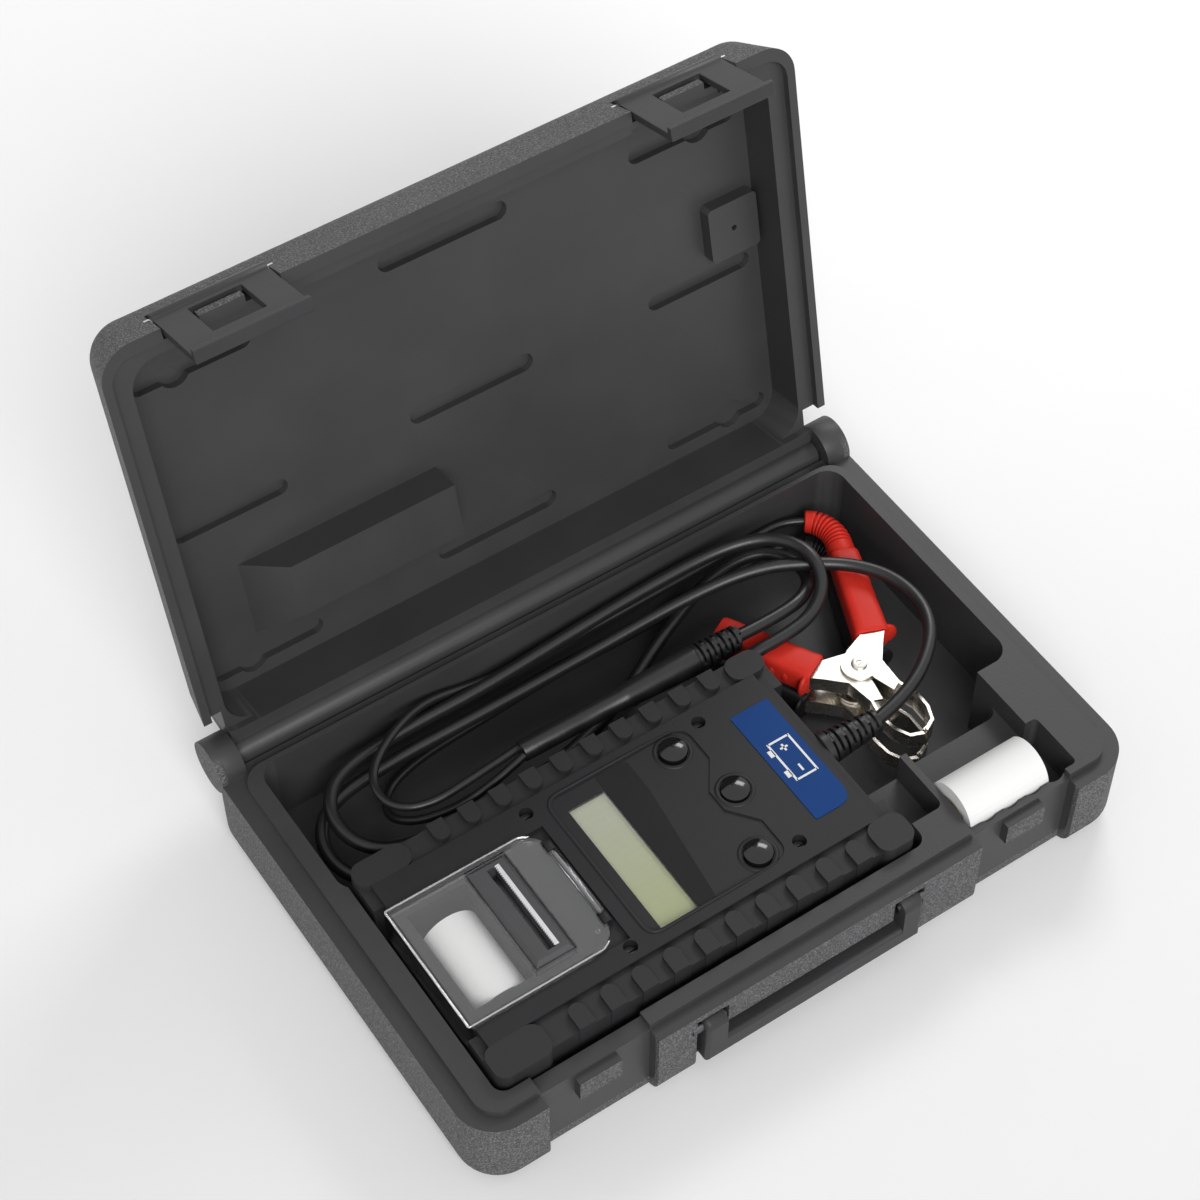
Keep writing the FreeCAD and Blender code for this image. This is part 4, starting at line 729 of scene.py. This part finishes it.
# Ribbed reliefs on the cable
def ribbed(start, way, first, last, r0, r1, core, count):
    """Profile of rings with slots between them, and the bridges that cross the slots by turns."""
    pitch = (last - first) / count
    profile, bridges = [], []
    side = way.cross(Z_WAY).normalized()
    up = side.cross(way)
    for i in range(count):
        s = first + i * pitch
        radius = r0 + (r1 - r0) * (i + 0.5) / count
        slot, rise, fall = s + RIB_SLOT * pitch, s + RIB_RISE * pitch, s + RIB_FALL * pitch
        profile += [(s, core), (slot, core), (slot, radius - RIB_EASE), (rise, radius), (fall, radius),
                    (s + pitch, radius - RIB_EASE)]
        out, along = (side, up) if i % 2 else (up, side)
        inner, outer = core - BRIDGE_ROOT, radius - BRIDGE_SINK
        section = ((inner, -BRIDGE_HALF), (outer, -BRIDGE_HALF), (outer, BRIDGE_HALF), (inner, BRIDGE_HALF))
        for sign in (-1, 1):
            ends = [start + way * t for t in (s - BRIDGE_LAP, rise)]
            bridges.append(skin([[at + out * (sign * r) + along * w for r, w in section] for at in ends]))
    return profile, bridges


ribs, bridges = ribbed(RELIEF, X_WAY, first=3.5, last=RELIEF_L, r0=6.9, r1=4.9, core=3.5, count=8)
relief = lathe(RELIEF_HEAD + ribs + [(RELIEF_L, CABLE_MOUTH)], RELIEF, X_WAY)
piece("tester_relief", joined(relief, *bridges), "cable", "base", ["strain_relief"])

ribs, bridges = ribbed(JUNCTION, JUNCTION_WAY, first=0.0, last=21.0, r0=5.2, r1=6.2, core=3.6, count=8)
boot = lathe([(0, CABLE_MOUTH)] + ribs + JUNCTION_TAIL, JUNCTION, JUNCTION_WAY)
junction = piece("junction_boot", joined(boot, *bridges), "cable", "base", ["lead_junction"])


# Cords
def cord(name, route, radius, node):
    line = bpy.data.curves.new(name, "CURVE")
    line.dimensions = "3D"
    line.bevel_depth = radius * MM
    line.bevel_resolution = 5
    line.resolution_u = 10
    spline = line.splines.new("NURBS")
    spline.points.add(len(route) - 1)
    for point, place in zip(spline.points, route):
        point.co = (*metres(place), 1.0)
    spline.order_u = 3
    spline.use_endpoint_u = True
    line.materials.append(MATERIALS["cable"])
    made = placed(name, line)
    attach(made, "base")
    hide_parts(node)


cord("main_cord", MAIN_ROUTE, MAIN_R, "main_cable")
cord("red_cord", RED_ROUTE, LEAD_R, "red_lead")
cord("black_cord", BLACK_ROUTE, LEAD_R, "black_lead")


# Panel: label with a battery pictogram, key collars, display surround, ridge of the sunk field
def label_shape():
    x0, x1, y0, y1 = LABEL
    corners = [(x0, y0, LABEL_R), (x1, y0, LABEL_LARGE_R), (x1, y1, LABEL_R), (x0, y1, LABEL_R)]
    return prism(rounded(corners), PANEL_Z, PANEL_Z + LABEL_T)


def mark_shape():
    """Battery seen from its front, terminals towards -X."""
    wide, tall, line = 19.0, 9.5, 0.9
    post_at, post_half, post_tall = 5.5, 1.6, 2.2
    sign_half, plus_half = 1.7, 0.45
    x0, x1, y0, y1 = LABEL
    middle_x, middle_y, foot = 0.5 * (x0 + x1) + MARK_SHIFT, 0.5 * (y0 + y1), PANEL_Z + LABEL_T

    def bar(x, half_x, y, half_y):
        x, y = middle_x + x, middle_y + y
        return slab(x - half_x, x + half_x, y - half_y, y + half_y, foot, foot + MARK_T)

    sides = [bar(0, tall / 2, s * wide / 2, line / 2) for s in (-1, 1)]
    ends = [bar(s * tall / 2, line / 2, 0, (wide + line) / 2) for s in (-1, 1)]
    posts = [bar(-(tall + post_tall) / 2, post_tall / 2, s * post_at, post_half) for s in (-1, 1)]
    signs = [bar(0, plus_half, s * post_at, sign_half) for s in (-1, 1)]
    return joined(*sides, *ends, *posts, *signs, bar(0, sign_half, post_at, plus_half))


piece("label_film", label_shape(), "label", "base", ["label_plate"])
piece("label_mark", mark_shape(), "ink", "base")
for name, (x, y) in KEYS.items():
    foot = Vector((x, y, PANEL_Z if name == "middle" else FIELD_Z))
    shape = collar(KEY_COLLAR, foot, KEY_COLLAR_SIDES)
    piece("key_collar_" + name, shape, "housing", "base", crease=COLLAR_CREASE)
surround = prism(rounded(SURROUND), FIELD_Z - SURROUND_SINK, FIELD_Z + SURROUND_RISE)
piece("display_surround", surround, "film", "base")
ridge = tube(open_path(FIELD_EDGE), FIELD_RIDGE_R, PANEL_Z - FIELD_RIDGE_SINK)
piece("field_ridge", ridge, "housing", "base")


# Printer: tear blade, bright rim and bosses of the cover
def blade_shape():
    """Thin blade with a row of teeth towards the paper slot."""
    y0, y1 = BLADE_Y
    pitch = (y1 - y0) / BLADE_TEETH
    outline = []
    for i in range(BLADE_TEETH):
        outline += [(BLADE_ROOT, y0 + i * pitch), (BLADE_TIP, y0 + (i + 0.5) * pitch)]
    outline += [(BLADE_ROOT, y1), (BLADE_BACK, y1), (BLADE_BACK, y0)]
    return prism(outline, *BLADE_Z)


def cover_rim_shape():
    x0, x1, y0, y1 = COVER
    shoulder, end = x1 - COVER_SHOULDER, x1 - COVER_END
    arch = [
        (end, y0 + COVER_END_IN, COVER_END_R), (shoulder, y0, COVER_SHOULDER_R), (x0, y0, COVER_CORNER_R),
        (x0, y1, COVER_CORNER_R), (shoulder, y1, COVER_SHOULDER_R), (end, y1 - COVER_END_IN, COVER_END_R)]
    return tube(open_path(arch), COVER_RIM_R, COVER_TOP - COVER_RIM_SINK)


piece("tear_blade", blade_shape(), "tear", body_of("tear_bar"), ["tear_bar"])
piece("cover_rim", cover_rim_shape(), "edge", "cover")
for name, y in COVER_BOSS_Y.items():
    boss = collar(COVER_BOSS, Vector((COVER_BOSS_X, y, COVER_TOP)), COVER_BOSS_SIDES)
    piece("cover_boss_" + name, boss, "clear", "cover")

# Floor, light and camera
floor_mesh = bpy.data.meshes.new("floor")
floor_plan = [(-FLOOR_REACH, -FLOOR_REACH, 0), (FLOOR_REACH, -FLOOR_REACH, 0), (FLOOR_REACH, FLOOR_REACH, 0),
              (-FLOOR_REACH, FLOOR_REACH, 0)]
floor_mesh.from_pydata(floor_plan, [], [(0, 1, 2, 3)])
floor_mesh.materials.append(moulded("floor_paper", (0.95, 0.95, 0.95), 0.9, 300.0, 0.00002, 0.005))
floor = placed("floor", floor_mesh)
floor.location.z = -FLOOR_DROP

# The world lights with the fill and shows as white to the camera and in mirrors and glass
world = bpy.data.worlds.new("studio")
bpy.context.scene.world = world
world.use_nodes = True
sky = world.node_tree
fill = sky.nodes["Background"]
fill.inputs["Color"].default_value = (1, 1, 1, 1)
fill.inputs["Strength"].default_value = FILL_STRENGTH
white = sky.nodes.new("ShaderNodeBackground")
white.inputs["Color"].default_value = (1, 1, 1, 1)
white.inputs["Strength"].default_value = BACKDROP_STRENGTH
path = sky.nodes.new("ShaderNodeLightPath")
shown = path.outputs["Is Camera Ray"]
for kind in ("Is Glossy Ray", "Is Transmission Ray"):
    most = sky.nodes.new("ShaderNodeMath")
    most.operation = "MAXIMUM"
    sky.links.new(shown, most.inputs[0])
    sky.links.new(path.outputs[kind], most.inputs[1])
    shown = most.outputs[0]
seen = sky.nodes.new("ShaderNodeMixShader")
sky.links.new(shown, seen.inputs[0])
sky.links.new(fill.outputs[0], seen.inputs[1])
sky.links.new(white.outputs[0], seen.inputs[2])
sky.links.new(seen.outputs[0], sky.nodes["World Output"].inputs["Surface"])


def pointed(direction):
    return Vector(direction).to_track_quat("-Z", "Y").to_euler()


key = bpy.data.lights.new("key", "SUN")
key.energy = KEY_STRENGTH
key.angle = math.radians(KEY_SPREAD)
placed("key", key).rotation_euler = pointed(KEY_WAY)

softbox = bpy.data.lights.new("softbox", "AREA")
softbox.shape = "RECTANGLE"
softbox.size, softbox.size_y = SOFTBOX_SIZE
softbox.energy = SOFTBOX_POWER
holder = placed("softbox", softbox)
holder.location = Vector(SOFTBOX_WAY) * SOFTBOX_AWAY
holder.rotation_euler = pointed(-holder.location)
holder.visible_camera = False

eye = bpy.data.cameras.new("eye")
eye.lens = CAMERA_LENS
eye.sensor_width = CAMERA_SENSOR
eye.clip_end = CAMERA_FAR
camera = placed("eye", eye)
camera.location = CAMERA_PLACE
camera.rotation_euler = [math.radians(a) for a in CAMERA_TURN]
bpy.context.scene.camera = camera
bpy.context.scene.view_settings.view_transform = "Standard"
